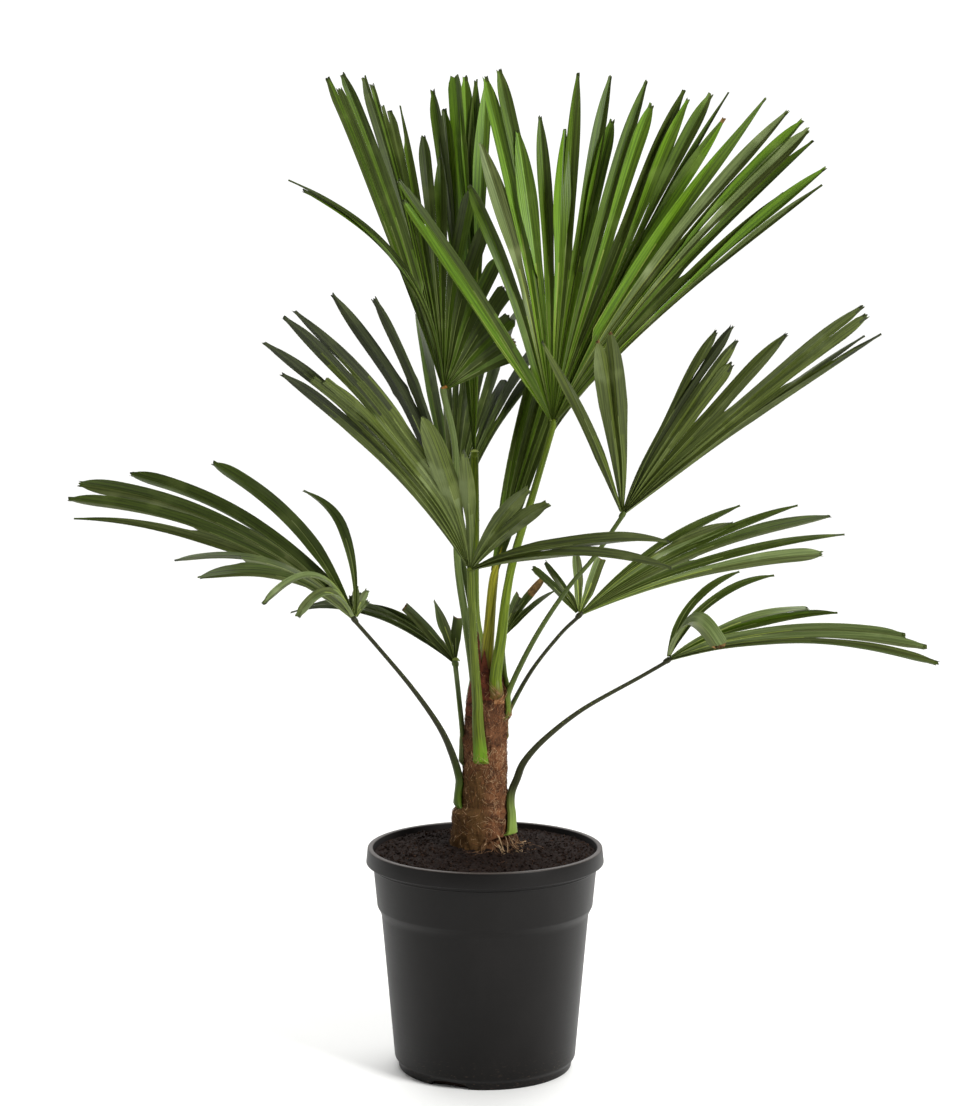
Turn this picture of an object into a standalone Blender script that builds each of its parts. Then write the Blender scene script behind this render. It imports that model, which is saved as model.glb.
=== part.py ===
"""Potted windmill palm: a young fan palm, about 1.2 m high, in a round black nursery pot.

Units are metres and +Z is up.  The origin is on the floor, at the middle of the pot's foot.
A compass angle is read in plan: 0 is towards -Y, the plant's front, and 90 is towards +X.
Every frond is a stalk, one tapering limb, that ends in a small round knuckle.  The fan's
blades stand around the knuckle, each a thin closed plate with the outline of its leaflets.
"""

import math
from dataclasses import dataclass

import bmesh
import bpy
from mathutils import Vector

# Pot
POT_HEIGHT = 0.267
RIM_RADIUS = 0.140
RIM_FLARE = 0.002
RIM_BAND_HEIGHT = 0.0185
NECK_RADIUS = 0.1335
SHOULDER_TOP = 0.197
SHOULDER_TOP_RADIUS = 0.1288
SHOULDER_FOOT = 0.188
SHOULDER_FOOT_RADIUS = 0.1240
BODY_FOOT_RADIUS = 0.1085
FOOT_STEP_HEIGHT = 0.010
FOOT_RADIUS = 0.1035
FLOOR_TOP = 0.003
WALL = 0.0025
EASE = 0.001
POT_SEGMENTS = 44
NOTCH_COMPASS = (-24.0, 156.0)
NOTCH_WIDTH = 0.048
NOTCH_HEIGHT = 0.0080
NOTCH_DEPTH = 0.009

# The pot's inner wall: height, radius
INNER_WALL = (
    (FLOOR_TOP, FOOT_RADIUS - WALL),
    (FOOT_STEP_HEIGHT, FOOT_RADIUS - WALL),
    (FOOT_STEP_HEIGHT + 6 * EASE, BODY_FOOT_RADIUS - WALL),
    (SHOULDER_FOOT, SHOULDER_FOOT_RADIUS - WALL),
    (SHOULDER_TOP, SHOULDER_TOP_RADIUS - WALL),
    (POT_HEIGHT - RIM_BAND_HEIGHT, NECK_RADIUS - WALL),
    (POT_HEIGHT, NECK_RADIUS + 0.0005),
)

# Soil: a flat top under the trunk, sloping down to the wall
SOIL_MOUND_TOP = 0.2677
SOIL_MOUND_RADIUS = 0.052
SOIL_SLOPE_FOOT = 0.2640
SOIL_SLOPE_RADIUS = 0.095
SOIL_EDGE = 0.2600
SEAT_GAP = 0.0003

# Trunk: height, middle along X, radius, from the flat cut at soil level to the blunt tip
TRUNK_Y = 0.012
TRUNK_SIDES = 28
TRUNK_RINGS = (
    (0.2680, -0.0060, 0.0355),
    (0.2760, -0.0060, 0.0345),
    (0.2900, -0.0055, 0.0330),
    (0.3080, -0.0050, 0.0318),
    (0.3150, -0.0010, 0.0262),
    (0.3450, 0.0000, 0.0250),
    (0.3930, 0.0000, 0.0243),
    (0.4300, 0.0020, 0.0232),
    (0.4550, 0.0030, 0.0210),
    (0.4700, 0.0030, 0.0165),
    (0.4800, 0.0030, 0.0115),
)

# Fronds
STALK_SIDES = 8
STALK_STEPS = 9
BROAD_FOOT = 1.6
BROAD_FOOT_TAPER = 2.2
SLIM_FOOT_TAPER = 1.6
KNUCKLE_RADIUS = 0.006
KNUCKLE_RINGS = (-1.0, -0.8, -0.45, 0.0, 0.45, 0.8, 1.0)
KNUCKLE_CLEARANCE = 1.4
KNUCKLE_END_RADIUS = 0.0015
FINGER_GAP = 0.0004
FINGER_NARROWING = 0.72
LEAST_JOINED_SHARE = 0.05
BLADE_THICKNESS = 0.0014
BLADE_EDGE_INSET = 0.0005
ROOT_NARROWING = 0.7
ROOT_HALF_WIDTH = 0.0006
TIP_HALF_WIDTH = 0.0014
CUT_HALF_WIDTH = 0.0040


@dataclass(frozen=True)
class Blade:
    """One blade of a fan, lying on a plane through the knuckle.

    The plane looks along the compass angle `face`, raised by `tilt` degrees.  A leaflet's
    angle is read in that plane from its steepest upward line, clockwise as one looks at the
    face, and its reach is the straight distance in centimetres from knuckle to tip.  `arch`
    is how far a leaflet bows upward, as a part of its reach, `fused` the part of the reach
    up to which neighbours can be joined, and `spread` the angles of the blade's two edges.
    A blade that lies on its neighbour starts `root` metres from the knuckle.
    """

    name: str
    face: float
    tilt: float
    leaflets: tuple
    spread: tuple
    width: float = 0.016
    arch: float = 0.02
    fused: float = 0.5
    cut: bool = False
    root: float = KNUCKLE_RADIUS + SEAT_GAP


@dataclass(frozen=True)
class Frond:
    """A stalk and its blades.

    The stalk's foot lies along the trunk at a compass angle between two heights, or starts
    on the trunk's tip where `foot` is empty, and it runs through `route` to the knuckle.
    """

    name: str
    foot: tuple
    radius: tuple
    route: tuple
    blades: tuple


FRONDS = (
    Frond(
        "right_crown", (25.0, 0.452, 0.470), (0.0070, 0.0044),
        ((0.0184, -0.011, 0.517), (0.0294, -0.006, 0.598), (0.0577, 0.008, 0.694), (0.080, 0.020, 0.770)),
        (
            Blade("band", 22, 8, ((-34, 33.5), (-31.5, 32)), (-37, -28.5), arch=0.01, fused=0.6),
            Blade("middle", 4, 10,
                  ((-14, 34.5), (-10.5, 42), (-8, 43), (-5, 35.5), (-1.5, 37), (3, 35.5), (6, 42),
                   (10, 42.5), (12.5, 37.5)), (-17, 13.5)),
            Blade("right", -12, 9,
                  ((13.2, 41.5), (15.2, 39.7), (18.8, 42.5), (20.9, 41.5), (23.5, 43), (26, 44),
                   (28.1, 41)),
                  (12.4, 29.2)),
            Blade("edge", -28, 8,
                  ((32.6, 45), (36.3, 45), (38.5, 43), (40.6, 45), (42.2, 44.5), (44.8, 39.5),
                   (46.9, 43.5), (48.4, 42.5)),
                  (31.4, 50), arch=0.03),
        ),
    ),
    Frond(
        "left_crown", (-135.0, 0.440, 0.462), (0.0055, 0.0040),
        ((-0.022, 0.036, 0.530), (-0.033, 0.046, 0.610), (-0.035, 0.062, 0.732), (-0.050, 0.075, 0.806)),
        (
            Blade("side", 25, 9.4, ((-35.3, 30), (-34, 30)), (-36.5, -32.5), width=0.009, arch=0.15,
                  fused=0.3, root=0.0125),
            Blade("left", 25, 10, ((-20, 37.5), (-17.5, 39.5), (-14.5, 39.5)), (-22.5, -13.6), width=0.014),
            Blade("middle", 5, 14,
                  ((-13.5, 39.5), (-11.5, 38.5), (-9.5, 35), (-7.5, 35.5), (-3.5, 31.5), (0.5, 29)),
                  (-14.6, 3), width=0.014),
            Blade("right", -4, 14, ((8, 24), (18, 19.5), (29, 15), (40, 12), (51, 10.5), (61, 9)),
                  (3.4, 67), width=0.022, fused=0.85, cut=True),
        ),
    ),
    Frond(
        "back_crown", (175.0, 0.446, 0.466), (0.0055, 0.0045),
        ((-0.006, 0.040, 0.508), (-0.012, 0.057, 0.552), (-0.0118, 0.088, 0.650), (-0.013, 0.120, 0.726)),
        (
            Blade("fan", 0, 8,
                  ((-6.5, 45), (-5, 42.5), (-3, 46.5), (-1.4, 46.5), (0.2, 46), (1.8, 45.5)),
                  (-8.5, 3.5), arch=0.01),
        ),
    ),
    Frond(
        "young_leaf", (), (0.0050, 0.0048),
        ((0.0015, 0.007, 0.4803), (0.0045, 0.005, 0.523), (0.0103, 0.006, 0.592)),
        (
            Blade("fan", 0, 16, ((12, 34), (14.5, 37), (17, 38), (19.5, 36)), (9.5, 22), width=0.013,
                  arch=0.01, fused=0.35),
        ),
    ),
    Frond(
        "right_upper", (75.0, 0.425, 0.448), (0.0042, 0.0032),
        ((0.045, -0.008, 0.494), (0.069, -0.018, 0.539), (0.099, -0.030, 0.585),
         (0.127, -0.040, 0.620), (0.159, -0.050, 0.669)),
        (
            Blade("single", 10, -10, ((-26.5, 23),), (-30, -22), width=0.013, fused=0.4),
            Blade("pair", 0, -8, ((-9, 20.5), (-3.5, 21.5)), (-14, 8), width=0.018, fused=0.6),
            Blade("right", -15, -5, ((26, 22), (29, 24.5), (32, 25), (35, 24.5), (42, 28.5)), (18, 45),
                  width=0.014, fused=0.6),
            Blade("edge", -15, -5, ((49, 37), (51.5, 36), (53.5, 35), (56, 36)), (45.8, 58),
                  width=0.015, fused=0.6),
        ),
    ),
    Frond(
        "front", (-10.0, 0.374, 0.440), (0.0080, 0.0042),
        ((-0.014, -0.034, 0.515), (-0.017, -0.055, 0.605)),
        (
            Blade("left", 15, -28, ((-43.5, 36.5), (-41, 40.5), (-38.5, 35), (-36.5, 41.5), (-34, 41)),
                  (-46, -31.5), width=0.018, arch=0.06, fused=0.6),
            Blade("middle", 0, -28, ((-22.5, 39), (-15, 37), (-8, 21), (-1.5, 16.5)), (-25.3, 3),
                  width=0.018, arch=0.045, fused=0.5),
            Blade("cut", -20, -25, ((36, 15), (48, 14.5)), (28, 56), width=0.022, arch=0.05, fused=0.5,
                  cut=True),
            Blade("right", -45, -20, ((79, 33), (84.5, 32)), (75, 89), width=0.016, arch=0.06,
                  fused=0.35),
        ),
    ),
    Frond(
        "left_lower", (-85.0, 0.318, 0.345), (0.0068, 0.0030),
        ((-0.040, -0.002, 0.384), (-0.056, -0.010, 0.418), (-0.086, -0.022, 0.463),
         (-0.123, -0.033, 0.510), (-0.152, -0.040, 0.545)),
        (
            Blade("curl", 0, 15, ((-22, 16.5),), (-27, -17), width=0.009, arch=0.18, fused=0.4),
            Blade("upper", 12, 25, ((-38, 25.1),), (-43, -34), width=0.013, arch=0.09, fused=0.4),
            Blade("far", 25, 45, ((-43, 32), (-52, 36), (-56.5, 36), (-60, 34.5)), (-62, -40),
                  width=0.015, arch=0.09, fused=0.6),
            Blade("low", 40, 45, ((-61, 22.5), (-65, 19.5)), (-69, -58), width=0.013, arch=0.14,
                  fused=0.6),
            Blade("drooping", 70, 52, ((-70, 16.6), (-77, 12)), (-82, -66), width=0.011, arch=0.30,
                  fused=0.4),
            Blade("stubs", 20, 32, ((10, 3.4), (32, 3.4)), (0, 42), width=0.009, arch=0.05, fused=0.4,
                  cut=True),
        ),
    ),
    Frond(
        "left_back", (-94.0, 0.368, 0.400), (0.0042, 0.0030),
        ((-0.031, 0.032, 0.440), (-0.036, 0.070, 0.476)),
        (
            Blade("left", -45, 30, ((-84, 33), (-81, 30), (-76.5, 22)), (-88, -72), width=0.013,
                  arch=0.10, fused=0.55),
            Blade("upright", -15, 25, ((-46, 10), (-24, 8.5), (-3, 5.8)), (-52, 6), width=0.010,
                  arch=0.03, fused=0.3, cut=True),
        ),
    ),
    Frond(
        "right_back", (115.0, 0.395, 0.418), (0.0036, 0.0028),
        ((0.053, 0.024, 0.472), (0.088, 0.022, 0.518), (0.112, 0.020, 0.542)),
        (
            Blade("right", 25, 25, ((63, 28.5), (66, 26), (69.5, 36), (74, 39.5), (78, 40.5), (80.5, 36)),
                  (58, 83), width=0.014, arch=0.045, fused=0.5),
            Blade("upright", 0, 15, ((-44, 8.0), (-32, 7.6), (-3, 7.8), (21, 7.4)), (-50, 28),
                  width=0.009, arch=0.02, fused=0.25, cut=True),
        ),
    ),
    Frond(
        "right_lower", (76.0, 0.277, 0.325), (0.0075, 0.0030),
        ((0.0375, 0.002, 0.350), (0.047, -0.006, 0.373), (0.072, -0.014, 0.402),
         (0.116, -0.023, 0.438), (0.182, -0.036, 0.478), (0.213, -0.040, 0.497)),
        (
            Blade("upper", 0, 30, ((38, 14.5), (50, 17)), (30, 55), width=0.012, arch=0.15, fused=0.4),
            Blade("middle", -20, 40, ((63, 17), (67.5, 20.5)), (58, 72), width=0.016, arch=0.08, fused=0.7),
            Blade("outer", -25, 40, ((79, 28), (82.5, 30.5), (86.5, 32)), (74, 89), width=0.015,
                  arch=0.075, fused=0.6),
            Blade("folded", -70, 55, ((62, 8.5),), (50, 72), width=0.016, arch=0.45, fused=0.4,
                  cut=True),
        ),
    ),
    Frond(
        "back", (-160.0, 0.436, 0.458), (0.0040, 0.0034),
        ((-0.014, 0.062, 0.530), (-0.026, 0.094, 0.590), (-0.039, 0.130, 0.650)),
        (
            Blade("fan", 0, 50,
                  ((-8, 38), (-4, 40), (0, 41), (4, 41), (8, 40), (12, 39), (16, 25), (20, 36),
                   (24, 33)),
                  (-11, 27), arch=0.06, fused=0.45),
        ),
    ),
    Frond(
        "rear", (98.0, 0.452, 0.468), (0.0042, 0.0036),
        ((0.0191, 0.030, 0.511), (0.0246, 0.048, 0.553), (0.0326, 0.070, 0.6025),
         (0.0598, 0.115, 0.6844), (0.078, 0.165, 0.741)),
        (
            Blade("fan", -15, 42,
                  ((-19, 25), (-12.5, 26), (-6, 27), (0.5, 27), (7, 27), (13.5, 26.5), (20, 26),
                   (26.5, 25)),
                  (-23, 30), width=0.020, arch=0.05, fused=0.55),
        ),
    ),
    Frond(
        "low_back", (145.0, 0.418, 0.440), (0.0032, 0.0028),
        ((0.020, 0.046, 0.480), (0.022, 0.062, 0.510)),
        (
            Blade("fan", 20, 30, ((30, 6.0), (42, 10.3), (54, 10.0)), (24, 59), width=0.010, arch=0.05,
                  fused=0.5, cut=True),
        ),
    ),
)

COLOURS = {
    "pot": (0.021, 0.020, 0.020),
    "soil": (0.018, 0.009, 0.006),
    "bark": (0.110, 0.045, 0.022),
    "stalk": (0.110, 0.190, 0.030),
    "leaf": (0.045, 0.105, 0.020),
}
ROUGHNESS = {"pot": 0.45, "soil": 0.95, "bark": 0.85, "stalk": 0.45, "leaf": 0.50}


def material(kind):
    """One plain surface for each kind of piece."""
    found = bpy.data.materials.get(kind)
    if found:
        return found
    made = bpy.data.materials.new(kind)
    made.use_nodes = True
    shader = made.node_tree.nodes["Principled BSDF"]
    shader.inputs["Base Color"].default_value = (*COLOURS[kind], 1.0)
    shader.inputs["Roughness"].default_value = ROUGHNESS[kind]
    shader.inputs["Metallic"].default_value = 0.0
    return made


def add_object(name, bm, kind, smooth_angle=None):
    """Turn a bmesh into a named object, with its faces pointing out."""
    bmesh.ops.recalc_face_normals(bm, faces=bm.faces)
    mesh = bpy.data.meshes.new(name)
    bm.to_mesh(mesh)
    bm.free()
    mesh.materials.append(material(kind))
    if smooth_angle is not None:
        mesh.shade_smooth()
        mesh.set_sharp_from_angle(angle=math.radians(smooth_angle))
    made = bpy.data.objects.new(name, mesh)
    bpy.context.scene.collection.objects.link(made)
    return made


def compass(angle):
    """Level unit vector at a compass angle in degrees."""
    turn = math.radians(angle)
    return Vector((math.sin(turn), -math.cos(turn), 0.0))


def turned(name, profile, kind, closed):
    """Turn a profile of (radius, height) points round the vertical axis."""
    bm = bmesh.new()
    points = [bm.verts.new((radius, 0.0, height)) for radius, height in profile]
    edges = [bm.edges.new(pair) for pair in zip(points, points[1:])]
    if closed:
        edges.append(bm.edges.new((points[-1], points[0])))
    bmesh.ops.spin(
        bm, geom=points + edges, cent=(0, 0, 0), axis=(0, 0, 1), angle=math.tau, steps=POT_SEGMENTS,
        use_merge=True
    )
    bmesh.ops.remove_doubles(bm, verts=bm.verts, dist=0.00005)
    return add_object(name, bm, kind, smooth_angle=35)


def wall_radius(height):
    """Radius of the pot's inner wall at a height."""
    for (low, low_radius), (high, high_radius) in zip(INNER_WALL, INNER_WALL[1:]):
        if height <= high:
            share = (height - low) / (high - low)
            return low_radius + share * (high_radius - low_radius)
    return INNER_WALL[-1][1]


def make_pot():
    """The pot is one turned shell with a rim band, a shoulder, a stepped foot and a flat floor."""
    band_foot = POT_HEIGHT - RIM_BAND_HEIGHT
    profile = [
        (RIM_RADIUS - 1.5 * EASE, POT_HEIGHT),
        (RIM_RADIUS, POT_HEIGHT - 1.5 * EASE),
        (RIM_RADIUS + RIM_FLARE, band_foot + 2 * EASE),
        (RIM_RADIUS + RIM_FLARE - 1.5 * EASE, band_foot),
        (NECK_RADIUS, band_foot - 2 * EASE),
        (SHOULDER_TOP_RADIUS, SHOULDER_TOP),
        (SHOULDER_FOOT_RADIUS, SHOULDER_FOOT),
        (BODY_FOOT_RADIUS, FOOT_STEP_HEIGHT + 3 * EASE),
        (FOOT_RADIUS + EASE, FOOT_STEP_HEIGHT - 2 * EASE),
        (FOOT_RADIUS, EASE),
        (FOOT_RADIUS - EASE, 0.0),
        (0.0, 0.0),
        (0.0, FLOOR_TOP),
    ]
    profile += [(radius, height) for height, radius in INNER_WALL]
    pot = turned("pot", profile, "pot", closed=True)
    for number, angle in enumerate(NOTCH_COMPASS):
        bpy.context.view_layer.update()
        cut_notch(pot, angle, number)
    return pot


def cut_notch(pot, angle, number):
    """Cut one arched drain notch through the corner of the wall and the floor."""
    bm = bmesh.new()
    middle = compass(angle) * FOOT_RADIUS
    side = Vector((0, 0, 1)).cross(compass(angle))
    outline = ((-0.5, -0.002), (-0.5, 0.002), (-0.3, NOTCH_HEIGHT), (0.3, NOTCH_HEIGHT), (0.5, 0.002),
               (0.5, -0.002))
    ends = []
    for depth in (-NOTCH_DEPTH, NOTCH_DEPTH):
        place = middle + compass(angle) * depth
        ends.append([bm.verts.new(place + side * (across * NOTCH_WIDTH) + Vector((0, 0, high)))
                     for across, high in outline])
    bm.faces.new(ends[0])
    bm.faces.new(list(reversed(ends[1])))
    count = len(outline)
    for i in range(count):
        j = (i + 1) % count
        bm.faces.new((ends[0][j], ends[0][i], ends[1][i], ends[1][j]))
    cutter = add_object(f"notch_cutter_{number}", bm, "pot")
    cutter.hide_render = True
    cutter.display_type = "WIRE"
    cut = pot.modifiers.new(f"notch_{number}", "BOOLEAN")
    cut.operation = "DIFFERENCE"
    cut.object = cutter


def make_soil():
    """The root ball and soil fill the pot, with a low mound at the trunk."""
    bottom = FLOOR_TOP + SEAT_GAP
    profile = [
        (0.0, SOIL_MOUND_TOP),
        (SOIL_MOUND_RADIUS, SOIL_MOUND_TOP),
        (SOIL_SLOPE_RADIUS, SOIL_SLOPE_FOOT),
        (wall_radius(SOIL_EDGE) - SEAT_GAP, SOIL_EDGE),
    ]
    for height, radius in reversed(INNER_WALL[1:-1]):
        profile.append((radius - SEAT_GAP, height))
    profile.append((wall_radius(bottom) - SEAT_GAP, bottom))
    profile.append((0.0, bottom))
    return turned("soil", profile, "soil", closed=False)


def rings_to_solid(name, rings, kind):
    """Bridge a list of rings of points into a closed solid with flat ends."""
    bm = bmesh.new()
    loops = [[bm.verts.new(point) for point in ring] for ring in rings]
    for low, high in zip(loops, loops[1:]):
        count = len(low)
        for i in range(count):
            j = (i + 1) % count
            bm.faces.new((low[i], low[j], high[j], high[i]))
    bm.faces.new(list(reversed(loops[0])))
    bm.faces.new(loops[-1])
    return add_object(name, bm, kind, smooth_angle=50)


def trunk_at(height):
    """Middle and radius of the trunk at a height."""
    rings = TRUNK_RINGS
    height = min(max(height, rings[0][0]), rings[-1][0])
    for low, high in zip(rings, rings[1:]):
        if height <= high[0]:
            share = (height - low[0]) / (high[0] - low[0])
            middle = low[1] + share * (high[1] - low[1])
            return Vector((middle, TRUNK_Y, height)), low[2] + share * (high[2] - low[2])
    return Vector((rings[-1][1], TRUNK_Y, height)), rings[-1][2]


def make_trunk():
    """The trunk tapers from a flared foot on the soil to a blunt tip between the stalks."""
    rings = []
    for height, middle, radius in TRUNK_RINGS:
        centre = Vector((middle, TRUNK_Y, height))
        rings.append([centre + compass(360.0 * i / TRUNK_SIDES) * radius for i in range(TRUNK_SIDES)])
    return rings_to_solid("trunk", rings, "bark")


def seat(angle, height, radius):
    """Middle of a stalk of a radius that lies against the trunk."""
    centre, trunk_radius = trunk_at(height)
    return centre + compass(angle) * (trunk_radius + radius + SEAT_GAP)


def smooth_route(points, steps):
    """Points along a Catmull-Rom curve through the given points, evenly shared."""
    padded = [2 * points[0] - points[1], *points, 2 * points[-1] - points[-2]]
    dense = []
    for i in range(len(points) - 1):
        a, b, c, d = padded[i:i + 4]
        for k in range(steps):
            t = k / steps
            dense.append(0.5 * (2 * b + (c - a) * t + (2 * a - 5 * b + 4 * c - d) * t * t
                                + (3 * b - 3 * c + d - a) * t * t * t))
    dense.append(points[-1])
    lengths = [0.0]
    for a, b in zip(dense, dense[1:]):
        lengths.append(lengths[-1] + (b - a).length)
    route = []
    for k in range(steps + 1):
        wanted = lengths[-1] * k / steps
        at = max(i for i, length in enumerate(lengths) if length <= wanted + 1e-9)
        at = min(at, len(dense) - 2)
        span = lengths[at + 1] - lengths[at]
        route.append(dense[at].lerp(dense[at + 1], (wanted - lengths[at]) / span))
    return route


def clear_of_trunk(point, radius):
    """Move a point of a stalk's middle line out until a limb of this radius clears the trunk."""
    if point.z > TRUNK_RINGS[-1][0]:
        return point
    centre, trunk_radius = trunk_at(point.z)
    outward = Vector((point.x - centre.x, point.y - centre.y, 0.0))
    room = trunk_radius + radius + SEAT_GAP - outward.length
    return point + outward.normalized() * max(0.0, room)


def stalk_radius(radii, share):
    """Radius at a share of a stalk's length: a broad foot narrows quickly, a slim one evenly."""
    foot_radius, top_radius = radii
    if foot_radius > BROAD_FOOT * top_radius:
        return top_radius + (foot_radius - top_radius) * (1.0 - share) ** BROAD_FOOT_TAPER
    return foot_radius + (top_radius - foot_radius) * min(1.0, SLIM_FOOT_TAPER * share)


def make_stalk(frond):
    """A stalk tapers from its broad foot on the trunk to the round knuckle under the fan."""
    points = [Vector(point) for point in frond.route]
    if frond.foot:
        angle, low, high = frond.foot
        points = [seat(angle, low, frond.radius[0]), seat(angle, high, frond.radius[0])] + points
    route = smooth_route(points, STALK_STEPS)
    knuckle = points[-1]
    end = (route[-1] - route[-2]).normalized()
    stations = []
    for k, point in enumerate(route[:-1]):
        if (knuckle - point).length > KNUCKLE_CLEARANCE * KNUCKLE_RADIUS:
            stations.append((point, stalk_radius(frond.radius, k / STALK_STEPS)))
    if frond.foot:
        stations = [(clear_of_trunk(point, radius), radius) for point, radius in stations]
    for along in KNUCKLE_RINGS:
        least = frond.radius[1] if along < 0 else KNUCKLE_END_RADIUS
        radius = max(KNUCKLE_RADIUS * math.sqrt(1.0 - along * along), least)
        stations.append((knuckle + end * (KNUCKLE_RADIUS * along), radius))
    rings = []
    across = Vector((0, 1, 0))
    for k, (point, radius) in enumerate(stations):
        ahead = stations[min(k + 1, len(stations) - 1)][0]
        behind = stations[max(k - 1, 0)][0]
        along = (ahead - behind).normalized()
        if k == 0:
            along = Vector((0, 0, 1))
        across = (across - along * across.dot(along)).normalized()
        other = along.cross(across)
        rings.append([point + radius * (math.cos(math.tau * i / STALK_SIDES) * across
                                        + math.sin(math.tau * i / STALK_SIDES) * other)
                      for i in range(STALK_SIDES)])
    return rings_to_solid(f"{frond.name}_stalk", rings, "stalk")


def blade_axes(blade):
    """Right and up unit vectors of a blade's plane."""
    face, tilt = math.radians(blade.face), math.radians(blade.tilt)
    up = Vector((-math.sin(face) * math.sin(tilt), math.cos(face) * math.sin(tilt), math.cos(tilt)))
    right = Vector((math.cos(face), math.sin(face), 0.0))
    return right, up


def rib_point(knuckle, blade, angle, reach, share, aside=0.0):
    """A point on a leaflet's bowed middle line, `aside` metres to its right."""
    right, up = blade_axes(blade)
    turn = math.radians(angle)
    chord = up * math.cos(turn) + right * math.sin(turn)
    beside = right * math.cos(turn) - up * math.sin(turn)
    lift = Vector((0, 0, 1)) - chord * chord.z
    lift.normalize()
    bow = 4.0 * share * max(1.0 - share, 0.0) * blade.arch * reach
    return knuckle + chord * (share * reach) + lift * bow + beside * aside


def share_at_radius(knuckle, blade, angle, reach, radius):
    """Share of a leaflet's reach at which it is a radius away from the knuckle."""
    low, high = 0.0, 0.5
    for _ in range(30):
        middle = 0.5 * (low + high)
        if (rib_point(knuckle, blade, angle, reach, middle) - knuckle).length < radius:
            low = middle
        else:
            high = middle
    return high


def room_beside(knuckle, blade, leaflets, i, side, radius):
    """Half width a leaflet has on one side at a radius, up to its neighbour's or to the blade's edge."""
    angle, reach = leaflets[i]
    other = i + side
    if not 0 <= other < len(leaflets):
        edge = max(blade.spread) if side > 0 else min(blade.spread)
        return math.radians(abs(edge - angle)) * radius - FINGER_GAP
    other_angle, other_reach = leaflets[other]
    own_point = rib_point(knuckle, blade, angle, reach, radius / reach)
    other_point = rib_point(knuckle, blade, other_angle, other_reach, radius / other_reach)
    beside = rib_point(knuckle, blade, angle, reach, radius / reach, 1.0) - own_point
    return 0.5 * side * (other_point - own_point).dot(beside) - FINGER_GAP


def make_blade(frond, blade):
    """A blade is joined near the knuckle and splits into one finger for each leaflet."""
    knuckle = Vector(frond.route[-1])
    leaflets = sorted((angle, reach / 100.0) for angle, reach in blade.leaflets)
    angles = [angle for angle, _ in leaflets]
    reaches = [reach for _, reach in leaflets]
    count = len(leaflets)
    low_edge, high_edge = min(blade.spread), max(blade.spread)
    borders = [low_edge] + [0.5 * (a + b) for a, b in zip(angles, angles[1:])] + [high_edge]
    border_reach = [reaches[0]] + [0.5 * (a + b) for a, b in zip(reaches, reaches[1:])] + [reaches[-1]]
    centre, half_spread = 0.5 * (low_edge + high_edge), 0.5 * (high_edge - low_edge)
    inset_angle = math.degrees(BLADE_EDGE_INSET / blade.root)
    root_half = max(ROOT_NARROWING * half_spread - inset_angle, math.degrees(ROOT_HALF_WIDTH / blade.root))
    bm = bmesh.new()
    hub, split, split_radius = [], [], []
    for k, (angle, reach) in enumerate(zip(borders, border_reach)):
        beside = min(abs(angle - other) for other in angles)
        neighbours = leaflets[max(k - 1, 0):k + 1]
        shortest = min(other_reach for _, other_reach in neighbours)
        radius = min(0.5 * blade.width / math.radians(beside), blade.fused * shortest)
        hub_angle = centre + (angle - centre) * root_half / half_spread
        start = share_at_radius(knuckle, blade, hub_angle, reach, blade.root)
        radius = max(radius, (start + LEAST_JOINED_SHARE) * reach)
        hub.append(bm.verts.new(rib_point(knuckle, blade, hub_angle, reach, start)))
        if 0 < k < count:
            left, right = [rib_point(knuckle, blade, a, r, radius / r) for a, r in neighbours]
            point = 0.5 * (left + right)
        else:
            inset = -BLADE_EDGE_INSET if k else BLADE_EDGE_INSET
            point = rib_point(knuckle, blade, angle, reach, radius / reach, inset)
        split.append(bm.verts.new(point))
        split_radius.append(radius)
    tip_half = CUT_HALF_WIDTH if blade.cut else TIP_HALF_WIDTH
    for i in range(count):
        bm.faces.new((hub[i], hub[i + 1], split[i + 1], split[i]))
        angle, reach = angles[i], reaches[i]
        middle = 0.5 * (max(split_radius[i], split_radius[i + 1]) / reach + 1.0)
        before, after = split[i], split[i + 1]
        for share, narrowing in ((middle, FINGER_NARROWING), (1.0, 0.0)):
            halves = []
            for side in (-1, 1):
                room = room_beside(knuckle, blade, leaflets, i, side, share * reach)
                halves.append(max(min(0.5 * blade.width * narrowing, room), min(tip_half, room)))
            # where a longer neighbour bows across a short tip, the tip leans away and keeps its width
            halves[halves.index(max(halves))] += max(TIP_HALF_WIDTH - sum(halves), 0.0)
            sides = []
            for side, half in zip((-1, 1), halves):
                sides.append(bm.verts.new(rib_point(knuckle, blade, angle, reach, share, side * half)))
            bm.faces.new((before, after, sides[1], sides[0]))
            before, after = sides
    bmesh.ops.triangulate(bm, faces=bm.faces)
    made = add_object(f"{frond.name}_{blade.name}", bm, "leaf")
    plate = made.modifiers.new("thickness", "SOLIDIFY")
    plate.thickness = BLADE_THICKNESS
    plate.offset = 0.0
    return made


def build():
    """Clear the scene and make every piece."""
    for old in list(bpy.data.objects):
        bpy.data.objects.remove(old, do_unlink=True)
    make_pot()
    make_soil()
    make_trunk()
    for frond in FRONDS:
        make_stalk(frond)
        for blade in frond.blades:
            make_blade(frond, blade)


build()
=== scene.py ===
"""Looks of a potted windmill palm: nursery pot, compost, fibrous trunk, leaf stalks and pleated fans.

Lengths are metres, +Z is up, and the origin is on the floor under the middle of the pot.  A compass
angle is read in plan: 0 is towards -Y, the plant's front, and 90 is towards +X.
"""

import logging
import math
from collections.abc import Sequence
from dataclasses import dataclass, field
from enum import Enum

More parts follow.
